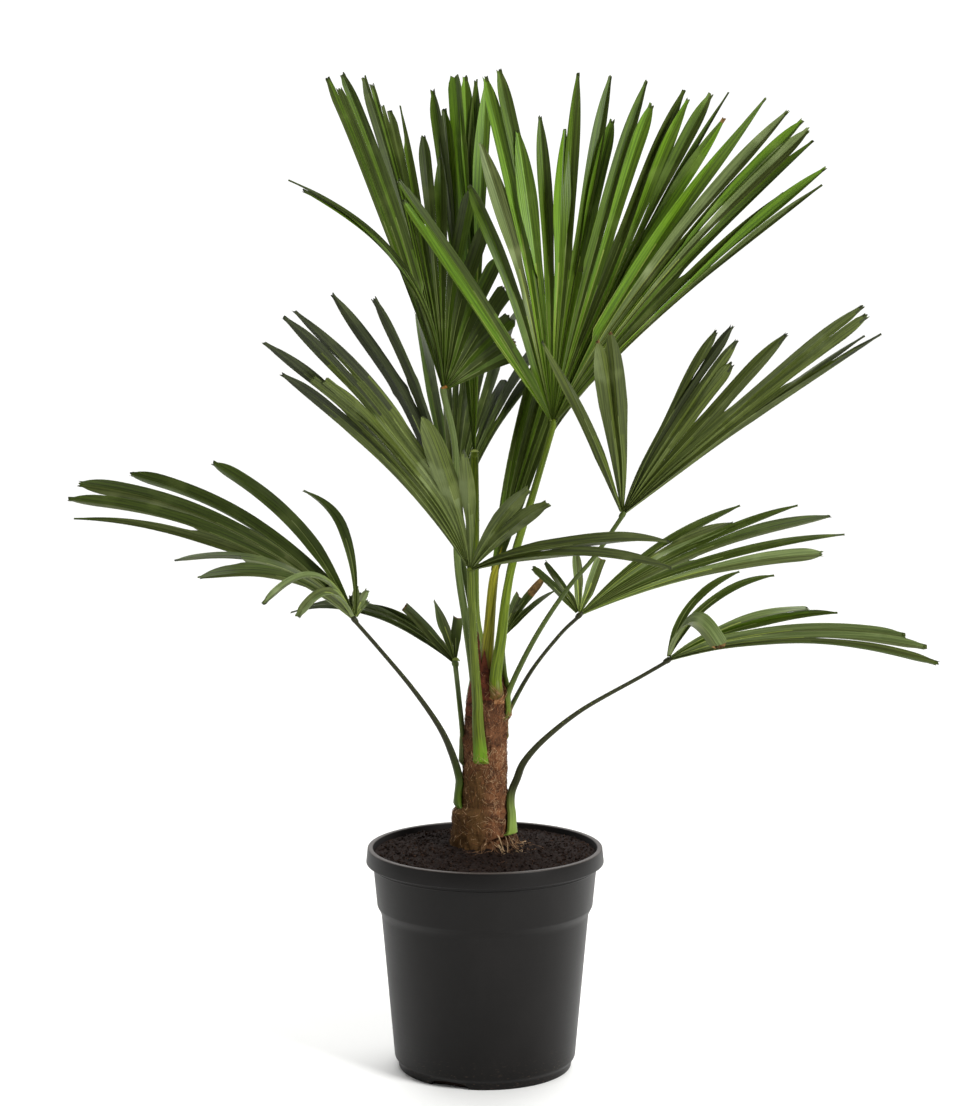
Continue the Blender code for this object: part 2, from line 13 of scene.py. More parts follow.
import bmesh
import bpy
import numpy as np
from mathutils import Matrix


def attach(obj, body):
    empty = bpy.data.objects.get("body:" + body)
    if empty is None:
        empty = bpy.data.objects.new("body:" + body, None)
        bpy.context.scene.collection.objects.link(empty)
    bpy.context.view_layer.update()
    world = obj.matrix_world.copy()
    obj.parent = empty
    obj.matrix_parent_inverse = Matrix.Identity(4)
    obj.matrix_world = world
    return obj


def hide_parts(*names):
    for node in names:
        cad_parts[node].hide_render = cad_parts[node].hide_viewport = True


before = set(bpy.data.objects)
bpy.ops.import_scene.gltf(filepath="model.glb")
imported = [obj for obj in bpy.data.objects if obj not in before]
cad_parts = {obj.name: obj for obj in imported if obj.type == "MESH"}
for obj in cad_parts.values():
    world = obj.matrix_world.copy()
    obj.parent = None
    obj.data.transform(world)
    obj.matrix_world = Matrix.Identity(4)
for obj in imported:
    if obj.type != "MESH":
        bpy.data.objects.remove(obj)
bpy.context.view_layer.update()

Array = np.ndarray
LOG = logging.getLogger("palm")
BODY = "root"
UP = np.array((0.0, 0.0, 1.0))
MILLIMETRE = 0.001


# Small mathematics

def unit(vectors: Array) -> Array:
    """Vectors scaled to length one along the last axis."""
    return vectors / np.maximum(np.linalg.norm(vectors, axis=-1, keepdims=True), 1e-12)


def smooth(value: Array | float) -> Array:
    """A soft step from 0 to 1 while the value goes from 0 to 1."""
    held = np.clip(value, 0.0, 1.0)
    return held * held * (3.0 - 2.0 * held)


def compass(angle: Array | float) -> Array:
    """Level unit vectors at compass angles in degrees."""
    turn = np.radians(angle)
    return np.stack((np.sin(turn), -np.cos(turn), np.zeros_like(turn)), axis=-1)


def ripple(points: Array, grain: float, seed: int, waves: int = 12) -> Array:
    """Smooth unevenness in space, the sum of a few waves that run in random directions.

    Args:
        points: Places, with X, Y and Z on the last axis.
        grain: Usual distance from crest to crest.
        seed: Seed of the directions.
        waves: How many waves are summed.

    Returns:
        One height for each point, mostly from -1 to 1.
    """
    random = np.random.default_rng(seed)
    ways = unit(random.normal(size=(waves, 3))) * (math.tau / grain) * random.uniform(0.6, 1.7, (waves, 1))
    phases = random.uniform(0.0, math.tau, waves)
    return np.sin(points @ ways.T + phases).sum(axis=-1) / math.sqrt(waves)


def curve_through(points: Sequence[Array], steps: int) -> Array:
    """Evenly spaced points along a Catmull-Rom curve through the given points.

    Args:
        points: The curve's own points.
        steps: Number of equal steps to cut it into.

    Returns:
        An array of steps + 1 places.
    """
    padded = [2 * points[0] - points[1], *points, 2 * points[-1] - points[-2]]
    share = np.linspace(0.0, 1.0, steps, endpoint=False)[:, None]
    dense = []
    for a, b, c, d in zip(padded, padded[1:], padded[2:], padded[3:]):
        dense.append(0.5 * (2 * b + (c - a) * share + (2 * a - 5 * b + 4 * c - d) * share ** 2
                            + (3 * b - 3 * c + d - a) * share ** 3))
    line = np.concatenate([*dense, [points[-1]]])
    lengths = np.concatenate(([0.0], np.cumsum(np.linalg.norm(np.diff(line, axis=0), axis=1))))
    wanted = np.linspace(0.0, lengths[-1], steps + 1)
    return np.stack([np.interp(wanted, lengths, line[:, axis]) for axis in range(3)], axis=-1)


# Meshes

def lattice(rows: int, columns: int, closed: bool) -> Array:
    """Corners of the faces between rows of points.

    Args:
        rows: Number of rows.
        columns: Points in each row.
        closed: True where each row is a ring.

    Returns:
        An array with four point numbers for each face.
    """
    row, column = np.meshgrid(np.arange(rows - 1), np.arange(columns if closed else columns - 1), indexing="ij")
    here, after = row * columns + column, row * columns + (column + 1) % columns
    return np.stack((here, after, after + columns, here + columns), axis=-1).reshape(-1, 4)


class MeshBuilder:
    """Gathers the strips, tubes and lumps of one piece and turns them into one mesh object."""

    def __init__(self) -> None:
        """Start with nothing."""
        self.points: list[Array] = []
        self.uvs: list[Array] = []
        self.faces: list[list[int]] = []
        self.finishes: list[int] = []
        self.count = 0

    def add(self, points: Array, faces: Array, finish: Array | int = 0, uv: Array | None = None) -> None:
        """Add points and the faces between them.

        Args:
            points: Places, with X, Y and Z on the last axis.
            faces: Point numbers, one row for each face.
            finish: Number of the material slot, for all faces or for each.
            uv: Two surface coordinates for each point, in metres.
        """
        flat = points.reshape(-1, 3)
        self.points.append(flat)
        self.uvs.append(np.zeros((len(flat), 2)) if uv is None else uv.reshape(-1, 2))
        self.faces.extend((faces + self.count).tolist())
        self.finishes.extend(np.broadcast_to(finish, len(faces)).tolist())
        self.count += len(flat)

    def add_rings(self, rings: Array, finish: Array | int = 0, uv: Array | None = None) -> None:
        """Add a closed skin round a row of rings, with a flat face on each end.

        Args:
            rings: Places, by ring, point and axis.
            finish: Material slot of the skin's faces; the ends take the first and the last of them.
            uv: Two surface coordinates for each point.
        """
        rows, columns = rings.shape[:2]
        sides = lattice(rows, columns, closed=True)
        slots = np.broadcast_to(finish, len(sides))
        self.add(rings, sides, slots, uv)
        first = self.count - rows * columns
        self.faces.append(list(range(first, first + columns)))
        self.faces.append(list(range(self.count - columns, self.count)))
        self.finishes += [int(slots[0]), int(slots[-1])]

    def add_tube(self, path: Array, radius: Array | float, sides: int, finish: int = 0) -> None:
        """Add a round strand.

        Args:
            path: Its middle line.
            radius: Its radius, along the whole line or at each point.
            sides: Points in each ring.
            finish: Material slot.
        """
        along = unit(np.gradient(path, axis=0))
        hint = UP if abs(along[:, 2]).mean() < 0.8 else np.array((1.0, 0.0, 0.0))
        across = unit(np.cross(along, hint))
        other = np.cross(along, across)
        turn = np.linspace(0.0, math.tau, sides, endpoint=False)[None, :, None]
        size = np.broadcast_to(radius, len(path))[:, None, None]
        ring = np.cos(turn) * across[:, None] + np.sin(turn) * other[:, None]
        self.add_rings(path[:, None] + ring * size, finish)

    def build(self, name: str, materials: Sequence[bpy.types.Material], sharp: float = 40.0) -> bpy.types.Object:
        """Make the object.

        Args:
            name: Its name.
            materials: One for each slot.
            sharp: Edges that bend by more degrees than this stay crisp.

        Returns:
            The new object, with its faces pointing out.
        """
        mesh = bpy.data.meshes.new(name)
        mesh.from_pydata(np.concatenate(self.points).tolist(), [], self.faces)
        bm = bmesh.new()
        bm.from_mesh(mesh)
        bmesh.ops.recalc_face_normals(bm, faces=bm.faces)
        bm.to_mesh(mesh)
        bm.free()
        for material in materials:
            mesh.materials.append(material)
        mesh.polygons.foreach_set("material_index", self.finishes)
        corners = np.zeros(len(mesh.loops), np.int32)
        mesh.loops.foreach_get("vertex_index", corners)
        mesh.uv_layers.new(name="surface").uv.foreach_set("vector", np.concatenate(self.uvs)[corners].ravel())
        mesh.shade_smooth()
        mesh.set_sharp_from_angle(angle=math.radians(sharp))
        made = bpy.data.objects.new(name, mesh)
        bpy.context.scene.collection.objects.link(made)
        return made


def place(piece: bpy.types.Object, slot: str, *nodes: str) -> bpy.types.Object:
    """Fix a finished piece to the plant.

    Args:
        piece: The piece.
        slot: The record's material slot that it stands for; it is only logged.
        nodes: The construction's nodes that it stands for.

    Returns:
        The same piece.
    """
    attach(piece, BODY)
    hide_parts(*nodes)
    LOG.info("%s: %d faces, slot %s, for %s", piece.name, len(piece.data.polygons), slot, ", ".join(nodes))
    return piece


# Materials

def linear(colour: str) -> tuple[float, float, float, float]:
    """Linear colour of an sRGB hex value such as #4a6320."""
    shares = [int(colour[i:i + 2], 16) / 255.0 for i in (1, 3, 5)]
    return (*(c / 12.92 if c <= 0.04045 else ((c + 0.055) / 1.055) ** 2.4 for c in shares), 1.0)


def add_node(tree: bpy.types.NodeTree, kind: str, settings: dict | None = None,
             links: dict | None = None) -> bpy.types.Node:
    """Add one shader node.

    Args:
        tree: The material's node tree.
        kind: The node's type.
        settings: Properties by name, and values of inputs by name or number.
        links: Sockets that feed its inputs, by name or number.

    Returns:
        The node.
    """
    node = tree.nodes.new(kind)
    for key, value in (settings or {}).items():
        if isinstance(key, str) and hasattr(node, key):
            setattr(node, key, value)
        else:
            node.inputs[key].default_value = value
    for key, socket in (links or {}).items():
        tree.links.new(socket, node.inputs[key])
    return node


class Sheet:
    """A material's node tree, with the few chains that several finishes share."""

    def __init__(self, name: str, roughness: float, shine: float) -> None:
        """Make the material and its surface shader, whose shine is a share of glassy."""
        self.material = bpy.data.materials.new(name)
        self.material.use_nodes = True
        self.tree = self.material.node_tree
        self.shader = self.tree.nodes["Principled BSDF"]
        self.shader.inputs["Roughness"].default_value = roughness
        self.shader.inputs["Specular IOR Level"].default_value = shine
        self.place = add_node(self.tree, "ShaderNodeNewGeometry").outputs["Position"]

    def noise(self, grain: float, detail: float = 3.0, source: bpy.types.NodeSocket | None = None,
              stretch: tuple[float, float, float] = (1.0, 1.0, 1.0)) -> bpy.types.NodeSocket:
        """Noise whose blobs are a real size.

        Args:
            grain: Size of a blob.
            detail: Number of finer layers.
            source: Coordinates in metres, by default the place in space.
            stretch: How much finer the noise is along each axis.

        Returns:
            The noise's value.
        """
        scaled = add_node(self.tree, "ShaderNodeVectorMath", {"operation": "MULTIPLY", 1: stretch},
                          {0: source or self.place})
        made = add_node(self.tree, "ShaderNodeTexNoise", {"Scale": 1.0 / grain, "Detail": detail},
                        {"Vector": scaled.outputs[0]})
        return made.outputs["Fac"]

    def ramp(self, value: bpy.types.NodeSocket, low: float, high: float) -> bpy.types.NodeSocket:
        """A value that goes from 0 to 1 while its source goes from low to high."""
        made = add_node(self.tree, "ShaderNodeMapRange",
                        {"interpolation_type": "SMOOTHSTEP", "From Min": low, "From Max": high}, {"Value": value})
        return made.outputs["Result"]

    def blend(self, share: bpy.types.NodeSocket, first: bpy.types.NodeSocket | str,
              second: str) -> bpy.types.NodeSocket:
        """A mix of two colours, given as hex values or a socket."""
        made = add_node(self.tree, "ShaderNodeMix", {"data_type": "RGBA", 7: linear(second)}, {0: share})
        if isinstance(first, str):
            made.inputs[6].default_value = linear(first)
        else:
            self.tree.links.new(first, made.inputs[6])
        return made.outputs[2]

    def paint(self, colour: bpy.types.NodeSocket) -> None:
        """Give the surface its colour."""
        self.tree.links.new(colour, self.shader.inputs["Base Color"])

    def dull(self, value: bpy.types.NodeSocket, low: float, high: float) -> None:
        """Let a pattern move the roughness between two values."""
        made = add_node(self.tree, "ShaderNodeMapRange", {"To Min": low, "To Max": high}, {"Value": value})
        self.tree.links.new(made.outputs["Result"], self.shader.inputs["Roughness"])

    def emboss(self, *layers: tuple[bpy.types.NodeSocket, float]) -> None:
        """Raise one or more patterns, each by a real height."""
        normal = None
        for value, height in layers:
            bump = add_node(self.tree, "ShaderNodeBump", {"Strength": 1.0, "Distance": height}, {"Height": value})
            if normal is not None:
                self.tree.links.new(normal, bump.inputs["Normal"])
            normal = bump.outputs["Normal"]
        self.tree.links.new(normal, self.shader.inputs["Normal"])

    def surface(self) -> bpy.types.NodeSocket:
        """The piece's own surface coordinates in metres: across, along."""
        return add_node(self.tree, "ShaderNodeUVMap", {"uv_map": "surface"}).outputs["UV"]


@dataclass(frozen=True)
class LeafFinish:
    """Living palm leaf, grown and not made: a thin waxy skin over fine veins that run lengthwise.

    The wax gives a soft, broad sheen, and where it is thick a grey bloom dulls the green.
    """

    name: str
    base: str
    shade: str
    bloom: str
    roughness: float = 0.46
    vein_spacing: float = 2.2 * MILLIMETRE
    vein_height: float = 0.10 * MILLIMETRE
    patch: float = 45 * MILLIMETRE

    def make(self) -> bpy.types.Material:
        """Veins are drawn about three times their real spacing, so that they show."""
        sheet = Sheet(self.name, self.roughness, 0.22)
        split = add_node(sheet.tree, "ShaderNodeSeparateXYZ", links={0: sheet.surface()})
        turns = add_node(sheet.tree, "ShaderNodeMath", {"operation": "MULTIPLY", 1: math.tau / self.vein_spacing},
                         {0: split.outputs["X"]})
        wave = add_node(sheet.tree, "ShaderNodeMath", {"operation": "SINE"}, {0: turns.outputs[0]})
        vein = sheet.ramp(wave.outputs[0], -1.0, 1.0)
        streak = sheet.noise(2.0 * MILLIMETRE, 2.0, sheet.surface(), (1.0, 0.02, 1.0))
        patch = sheet.noise(self.patch, 2.0)
        colour = sheet.blend(sheet.ramp(streak, 0.42, 0.60), self.base, self.shade)
        colour = sheet.blend(sheet.ramp(patch, 0.54, 0.76), colour, self.bloom)
        sheet.paint(colour)
        sheet.dull(patch, self.roughness - 0.06, self.roughness + 0.08)
        sheet.emboss((vein, self.vein_height))
        return sheet.material


@dataclass(frozen=True)
class StalkFinish:
    """Living leaf stalk: smooth tough rind with fine lengthwise threads, paler towards its foot.

    The eye sees a satin green bar with faint lines and an even highlight down its back.
    """

    name: str
    base: str
    shade: str
    foot: str
    roughness: float = 0.40
    thread: float = 1.0 * MILLIMETRE
    foot_length: float = 60 * MILLIMETRE

    def make(self) -> bpy.types.Material:
        """Threads run along the stalk, and the pale foot fades upward."""
        sheet = Sheet(self.name, self.roughness, 0.14)
        split = add_node(sheet.tree, "ShaderNodeSeparateXYZ", links={0: sheet.surface()})
        thread = sheet.noise(self.thread, 2.0, sheet.surface(), (1.0, 0.02, 1.0))
        patch = sheet.noise(25 * MILLIMETRE, 3.0)
        colour = sheet.blend(sheet.ramp(thread, 0.42, 0.60), self.base, self.shade)
        colour = sheet.blend(sheet.ramp(split.outputs["Y"], self.foot_length, 0.0), colour, self.foot)
        sheet.paint(colour)
        sheet.dull(patch, self.roughness - 0.05, self.roughness + 0.1)
        sheet.emboss((thread, 0.15 * MILLIMETRE))
        return sheet.material


@dataclass(frozen=True)
class DryFinish:
    """Dead plant matter, such as a dry leaf tip, bark fibre, root or peat crumb: matt and patchy.

    It dried on the plant or in the pot, so it scatters light evenly, with no sheen at all.
    """

    name: str
    base: str
    shade: str
    grain: float
    roughness: float = 0.9
    relief: float = 0.2 * MILLIMETRE

    def make(self) -> bpy.types.Material:
        """Two browns in patches of the grain's size, over a fine rough surface."""
        sheet = Sheet(self.name, self.roughness, 0.1)
        patch = sheet.noise(self.grain, 4.0)
        sheet.paint(sheet.blend(sheet.ramp(patch, 0.38, 0.66), self.base, self.shade))
        sheet.dull(patch, self.roughness - 0.12, min(1.0, self.roughness + 0.08))
        sheet.emboss((sheet.noise(0.4 * self.grain, 3.0), self.relief))
        return sheet.material


@dataclass(frozen=True)
class BarkFinish:
    """Palm trunk: leaf bases wrapped in a woven mat of coarse brown fibre, as it grew.

    The eye sees red-brown cloth-like threads that cross, and smoother olive-brown rind low down.
    """

    name: str = "palm_fibre_bark"
    red: str = "#724c32"
    dark: str = "#3e281b"
    olive: str = "#50391f"
    pale: str = "#b3926f"
    thread: float = 1.6 * MILLIMETRE
    roughness: float = 0.88

    def make(self) -> bpy.types.Material:
        """Threads rise slantwise; olive rind shows in the lower left, and the top is darkened with painted shade."""
        sheet = Sheet(self.name, self.roughness, 0.1)
        split = add_node(sheet.tree, "ShaderNodeSeparateXYZ", links={0: sheet.place})
        thread = sheet.noise(self.thread, 3.0, sheet.surface(), (1.0, 0.22, 1.0))
        fleck = sheet.noise(1.4 * MILLIMETRE, 2.0, sheet.surface(), (0.5, 1.3, 1.0))
        patch = sheet.noise(14 * MILLIMETRE, 3.0)
        colour = sheet.blend(sheet.ramp(patch, 0.35, 0.7), self.red, self.dark)
        # Painted shade: the trunk's top is blended towards dark fibre.
        painted_top_shade = add_node(sheet.tree, "ShaderNodeMath", {"operation": "MULTIPLY", 1: 0.55},
                          {0: sheet.ramp(split.outputs["Z"], 0.370, 0.430)})
        colour = sheet.blend(painted_top_shade.outputs[0], colour, self.dark)
        low = sheet.ramp(split.outputs["Z"], 0.378, 0.350)
        left = sheet.ramp(split.outputs["X"], 0.012, -0.008)
        both = add_node(sheet.tree, "ShaderNodeMath", {"operation": "MULTIPLY"}, {0: low, 1: left})
        colour = sheet.blend(both.outputs[0], colour, self.olive)
        colour = sheet.blend(sheet.ramp(thread, 0.52, 0.78), colour, self.dark)
        colour = sheet.blend(sheet.ramp(fleck, 0.66, 0.76), colour, self.pale)
        sheet.paint(colour)
        sheet.dull(patch, self.roughness - 0.1, self.roughness + 0.1)
        sheet.emboss((thread, 0.6 * MILLIMETRE), (fleck, 0.3 * MILLIMETRE))
        return sheet.material


@dataclass(frozen=True)
class PotFinish:
    """Recycled polypropylene, injection moulded: a satin black-grey with turned mould lines.

    The eye sees a soft upright highlight, faint level rings, a little dust and handling haze, and a
    lip whose top is painted lighter, a painted highlight.  Inside, the same plastic is painted darker,
    as painted shade within the pot, and it is duller.
    """

    name: str = "moulded_polypropylene"
    base: str = "#0c0a09"
    haze: str = "#12100f"
    roughness: float = 0.40
    dust: str = "#4a3c30"
    painted_lip_highlight: str = "#3a3430"
    ring_spacing: float = 3.2 * MILLIMETRE

    def make(self) -> bpy.types.Material:
        """Rings are drawn coarse, so that they show; haze lies in broad patches, and dust gathers at the foot."""
        sheet = Sheet(self.name, self.roughness, 0.17)
        split = add_node(sheet.tree, "ShaderNodeSeparateXYZ", links={0: sheet.place})
        height = split.outputs["Z"]
        rings = sheet.noise(self.ring_spacing, 2.0, stretch=(0.04, 0.04, 1.0))
        haze = sheet.noise(60 * MILLIMETRE, 4.0, stretch=(1.0, 1.0, 0.6))
        scuff = sheet.noise(2.5 * MILLIMETRE, 3.0, stretch=(0.5, 0.5, 2.0))
        colour = sheet.blend(sheet.ramp(haze, 0.4, 0.75), self.base, self.haze)
        low = sheet.ramp(height, 0.05, 0.0)
        speck = sheet.ramp(scuff, 0.6, 0.75)
        both = add_node(sheet.tree, "ShaderNodeMath", {"operation": "MULTIPLY"}, {0: low, 1: speck})
        colour = sheet.blend(both.outputs[0], colour, self.dust)
        # Painted highlight: the lip's top is painted lighter.
        sheet.paint(sheet.blend(sheet.ramp(height, 0.2655, 0.2670), colour, self.painted_lip_highlight))
        sheet.dull(haze, self.roughness - 0.06, self.roughness + 0.12)
        sheet.emboss((rings, 0.10 * MILLIMETRE), (sheet.noise(0.7 * MILLIMETRE, 2.0), 0.03 * MILLIMETRE))
        return sheet.material


@dataclass(frozen=True)
class PaperFinish:
    """Matt coated studio paper, rolled out as the floor: pale, even and without gloss."""

    name: str = "studio_paper"
    base: str = "#fafaf8"
    shade: str = "#f7f7f5"

    def make(self) -> bpy.types.Material:
        """A broad, hardly visible unevenness keeps it from looking computed."""
        sheet = Sheet(self.name, 0.95, 0.2)
        sheet.paint(sheet.blend(sheet.noise(0.4, 1.0), self.base, self.shade))
        return sheet.material


UPPER = (
    LeafFinish("palm_leaf_upper_fresh", "#5a7b16", "#435f0e", "#627a2e"),
    LeafFinish("palm_leaf_upper_green", "#475e0f", "#344708", "#506521"),
    LeafFinish("palm_leaf_upper_deep", "#394712", "#2a340a", "#45511f"),
    LeafFinish("palm_leaf_upper_bloom", "#5f6d3c", "#4a572b", "#727e52"),
    LeafFinish("palm_leaf_upper_olive", "#495225", "#333b15", "#5a6237"),
)
UNDER = (
    LeafFinish("palm_leaf_under_grey", "#576230", "#434d24", "#636e44", roughness=0.55),
    LeafFinish("palm_leaf_under_olive", "#47521b", "#313a0f", "#535d2d", roughness=0.55),
    LeafFinish("palm_leaf_under_dark", "#282f12", "#1b200a", "#363d1e", roughness=0.55),
    LeafFinish("palm_leaf_under_bloom", "#6f7a4d", "#58633a", "#808a62", roughness=0.55),
    LeafFinish("palm_leaf_under_dull", "#3d461a", "#2a320f", "#4f582e", roughness=0.55),
)
RIB = LeafFinish("palm_leaf_rib", "#8b9847", "#6c7934", "#868f54", roughness=0.5)
SOFT_RIB = LeafFinish("palm_leaf_rib_soft", "#64703a", "#505b2b", "#6d7748", roughness=0.52)
DRY_TIP = DryFinish("palm_leaf_dry_tip", "#6e5530", "#46361f", 6 * MILLIMETRE, roughness=0.75)
LEAF_SLOTS = (*UPPER, *UNDER, RIB, SOFT_RIB, DRY_TIP)
UNDER_SLOT = len(UPPER)
RIB_SLOT = len(UPPER) + len(UNDER)
SOFT_RIB_SLOT = RIB_SLOT + 1
DRY_SLOT = RIB_SLOT + 2
# Tones of painted shade: one for the dark ends of leaflets, and for each tone, above and below, the darker one that
# paints shade on one half of a leaflet.
DARK = 2
PAINTED_SHADE_TONES = np.array((1, 2, 2, 4, 2))
UNDER_PAINTED_SHADE_TONES = np.array((1, 4, 2, 0, 2))
HASTULA = DryFinish("dry_hastula", "#8a5a24", "#6a4a20", 4 * MILLIMETRE, roughness=0.7)


class Rind(Enum):
    """Colour of a leaf stalk."""

    GREEN = StalkFinish("leaf_stalk_green", "#5c6c17", "#3e4e0c", "#5a4a22", foot_length=12 * MILLIMETRE)
    FRESH = StalkFinish("leaf_stalk_fresh", "#59671c", "#3a4610", "#587c14", foot_length=34 * MILLIMETRE)
    YELLOW = StalkFinish("leaf_stalk_yellow", "#858220", "#5c5c12", "#6a5226", foot_length=22 * MILLIMETRE)
    PALE = StalkFinish("leaf_stalk_pale", "#5c6a38", "#465428", "#646c3a")
    OLIVE = StalkFinish("leaf_stalk_olive", "#424f1e", "#2f3a12", "#54641f")
    DARK = StalkFinish("leaf_stalk_dark", "#2b2d17", "#212310", "#455a18", foot_length=75 * MILLIMETRE)
    PALE_FOOT = StalkFinish("leaf_stalk_pale_foot", "#2e3019", "#232511", "#748a3a", foot_length=62 * MILLIMETRE)


_made: dict[str, bpy.types.Material] = {}


def material(finish: LeafFinish | StalkFinish | DryFinish | BarkFinish | PotFinish | PaperFinish) -> bpy.types.Material:
    """The material of a finish, made once."""
    if finish.name not in _made:
        _made[finish.name] = finish.make()
    return _made[finish.name]


# The plant's plan, which repeats the construction's own sizes

@dataclass(frozen=True)
class Cut:
    """Shape of a leaflet's outer part.

    `breadth` is its width as a share of the blade's, `widest` the share of its reach at which it
    starts to narrow, `tip` half its width at the end and `layer` how far it stands in front of the
    fan.  `fold` is the slope of its halves in degrees, `waist` its width near the hub as a share
    of its full width, `dark` the length of its dark end, which is painted shade, and `dry` the
    length of its brown end.
    """

    breadth: float
    widest: float
    tip: float
    layer: float
    fold: float
    waist: float = 1.0
    dark: float = 0.0
    dry: float = 0.0
    crease: float = 0.0


class Form(Enum):
    """Kinds of leaflet."""

    LONG = Cut(1.0, 0.76, 0.0024, -0.001, 40.0, dark=0.012)
    BROAD = Cut(1.4, 0.70, 0.0028, 0.006, 24.0)
    THIN = Cut(0.66, 0.58, 0.0013, -0.003, 48.0, dark=0.060)
    BLUNT = Cut(1.0, 0.88, 0.0034, 0.001, 34.0, dark=0.010)
    SLIM = Cut(0.70, 0.86, 0.0032, -0.006, 50.0, dark=0.004, crease=0.66)
    SQUARE = Cut(1.2, 0.97, 0.0065, 0.002, 24.0, dry=0.0015)
    STUMP = Cut(1.2, 0.60, 0.0046, 0.002, 30.0, dry=0.0010)
    SINGED = Cut(1.05, 0.74, 0.0024, 0.003, 36.0, dry=0.006)
    SPOON = Cut(0.95, 0.62, 0.0018, 0.0, 34.0, waist=0.25, dark=0.012)
    # Its long dark end is painted shade, as if its outer part were turned to the shade.
    TAILED = Cut(1.0, 0.72, 0.0024, -0.001, 24.0, dark=0.15)
    CREASED = Cut(0.95, 0.78, 0.0022, -0.006, 44.0, dark=0.010, crease=0.62)
    SCORCHED = Cut(1.0, 0.80, 0.0022, 0.0, 40.0, dry=0.036)


class Tone(Enum):
    """Shares of the light, middle, dark, bloomy and olive finishes that a fan's leaflets take."""

    BRIGHT = (0.50, 0.35, 0.15, 0.0, 0.0)
    MIDDLE = (0.10, 0.50, 0.40, 0.0, 0.0)
    DULL = (0.35, 0.45, 0.10, 0.0, 0.10)
    OLIVE = (0.0, 0.10, 0.30, 0.10, 0.50)
    # Painted shade: a frond that stands in shade takes mostly the dark finish.
    SHADED = (0.0, 0.10, 0.80, 0.0, 0.10)


@dataclass(frozen=True)
class L:
    """One leaflet: its angle in the blade's plane, its reach in centimetres and its form.

    The angle is in degrees from the steepest upward line.  `tone` picks the leaflet's finish
    instead of chance: 0 light, 1 middle, 2 dark, 3 bloomy, 4 olive.
    """

    angle: float
    reach: float
    form: Form = Form.LONG
    tone: int | None = None


BR, TH, BL, SL, SQ, ST = Form.BROAD, Form.THIN, Form.BLUNT, Form.SLIM, Form.SQUARE, Form.STUMP
SI, SP, TA, CR, SC = Form.SINGED, Form.SPOON, Form.TAILED, Form.CREASED, Form.SCORCHED


@dataclass(frozen=True)
class Blade:
    """Leaflets of a fan that lie on one plane through the knuckle.

    The plane looks along the compass angle `face`, raised by `tilt` degrees.  `arch` is the bow of
    a leaflet as a share of its reach, highest at the share `peak`, and `fused` is the share of the
    reach up to which neighbours can be joined.  A blade with `joined` runs on into the next one
    without a gap.  `pleat` is the slope of its folds at the hub in degrees, and `grip` half the
    width of its outer leaflets there.
    """

    name: str
    face: float
    tilt: float
    leaflets: tuple[L, ...]
    spread: tuple[float, float]
    width: float = 0.016
    arch: float = 0.02
    fused: float = 0.5
    joined: bool = False
    peak: float = 0.5
    pleat: float = 54.0
    grip: float = 0.0012


@dataclass(frozen=True)
class FrondPlan:
    """A stalk's seats on the trunk, its radii and route, and the blades of its fan.

    A seat is a compass angle and a height; `flare` is how much the stalk widens at its foot, and
    `tongue` how far below its lowest seat the foot ends, in foot radii.  The crest on the knuckle
    dries first where `dry_crest` is true.
    """

    name: str
    seats: tuple[tuple[float, float], ...]
    radius: tuple[float, float]
    route: tuple
    rind: Rind
    tone: Tone
    blades: tuple[Blade, ...]
    flare: float = 0.30
    dry_crest: bool = False
    tongue: float = 2.2


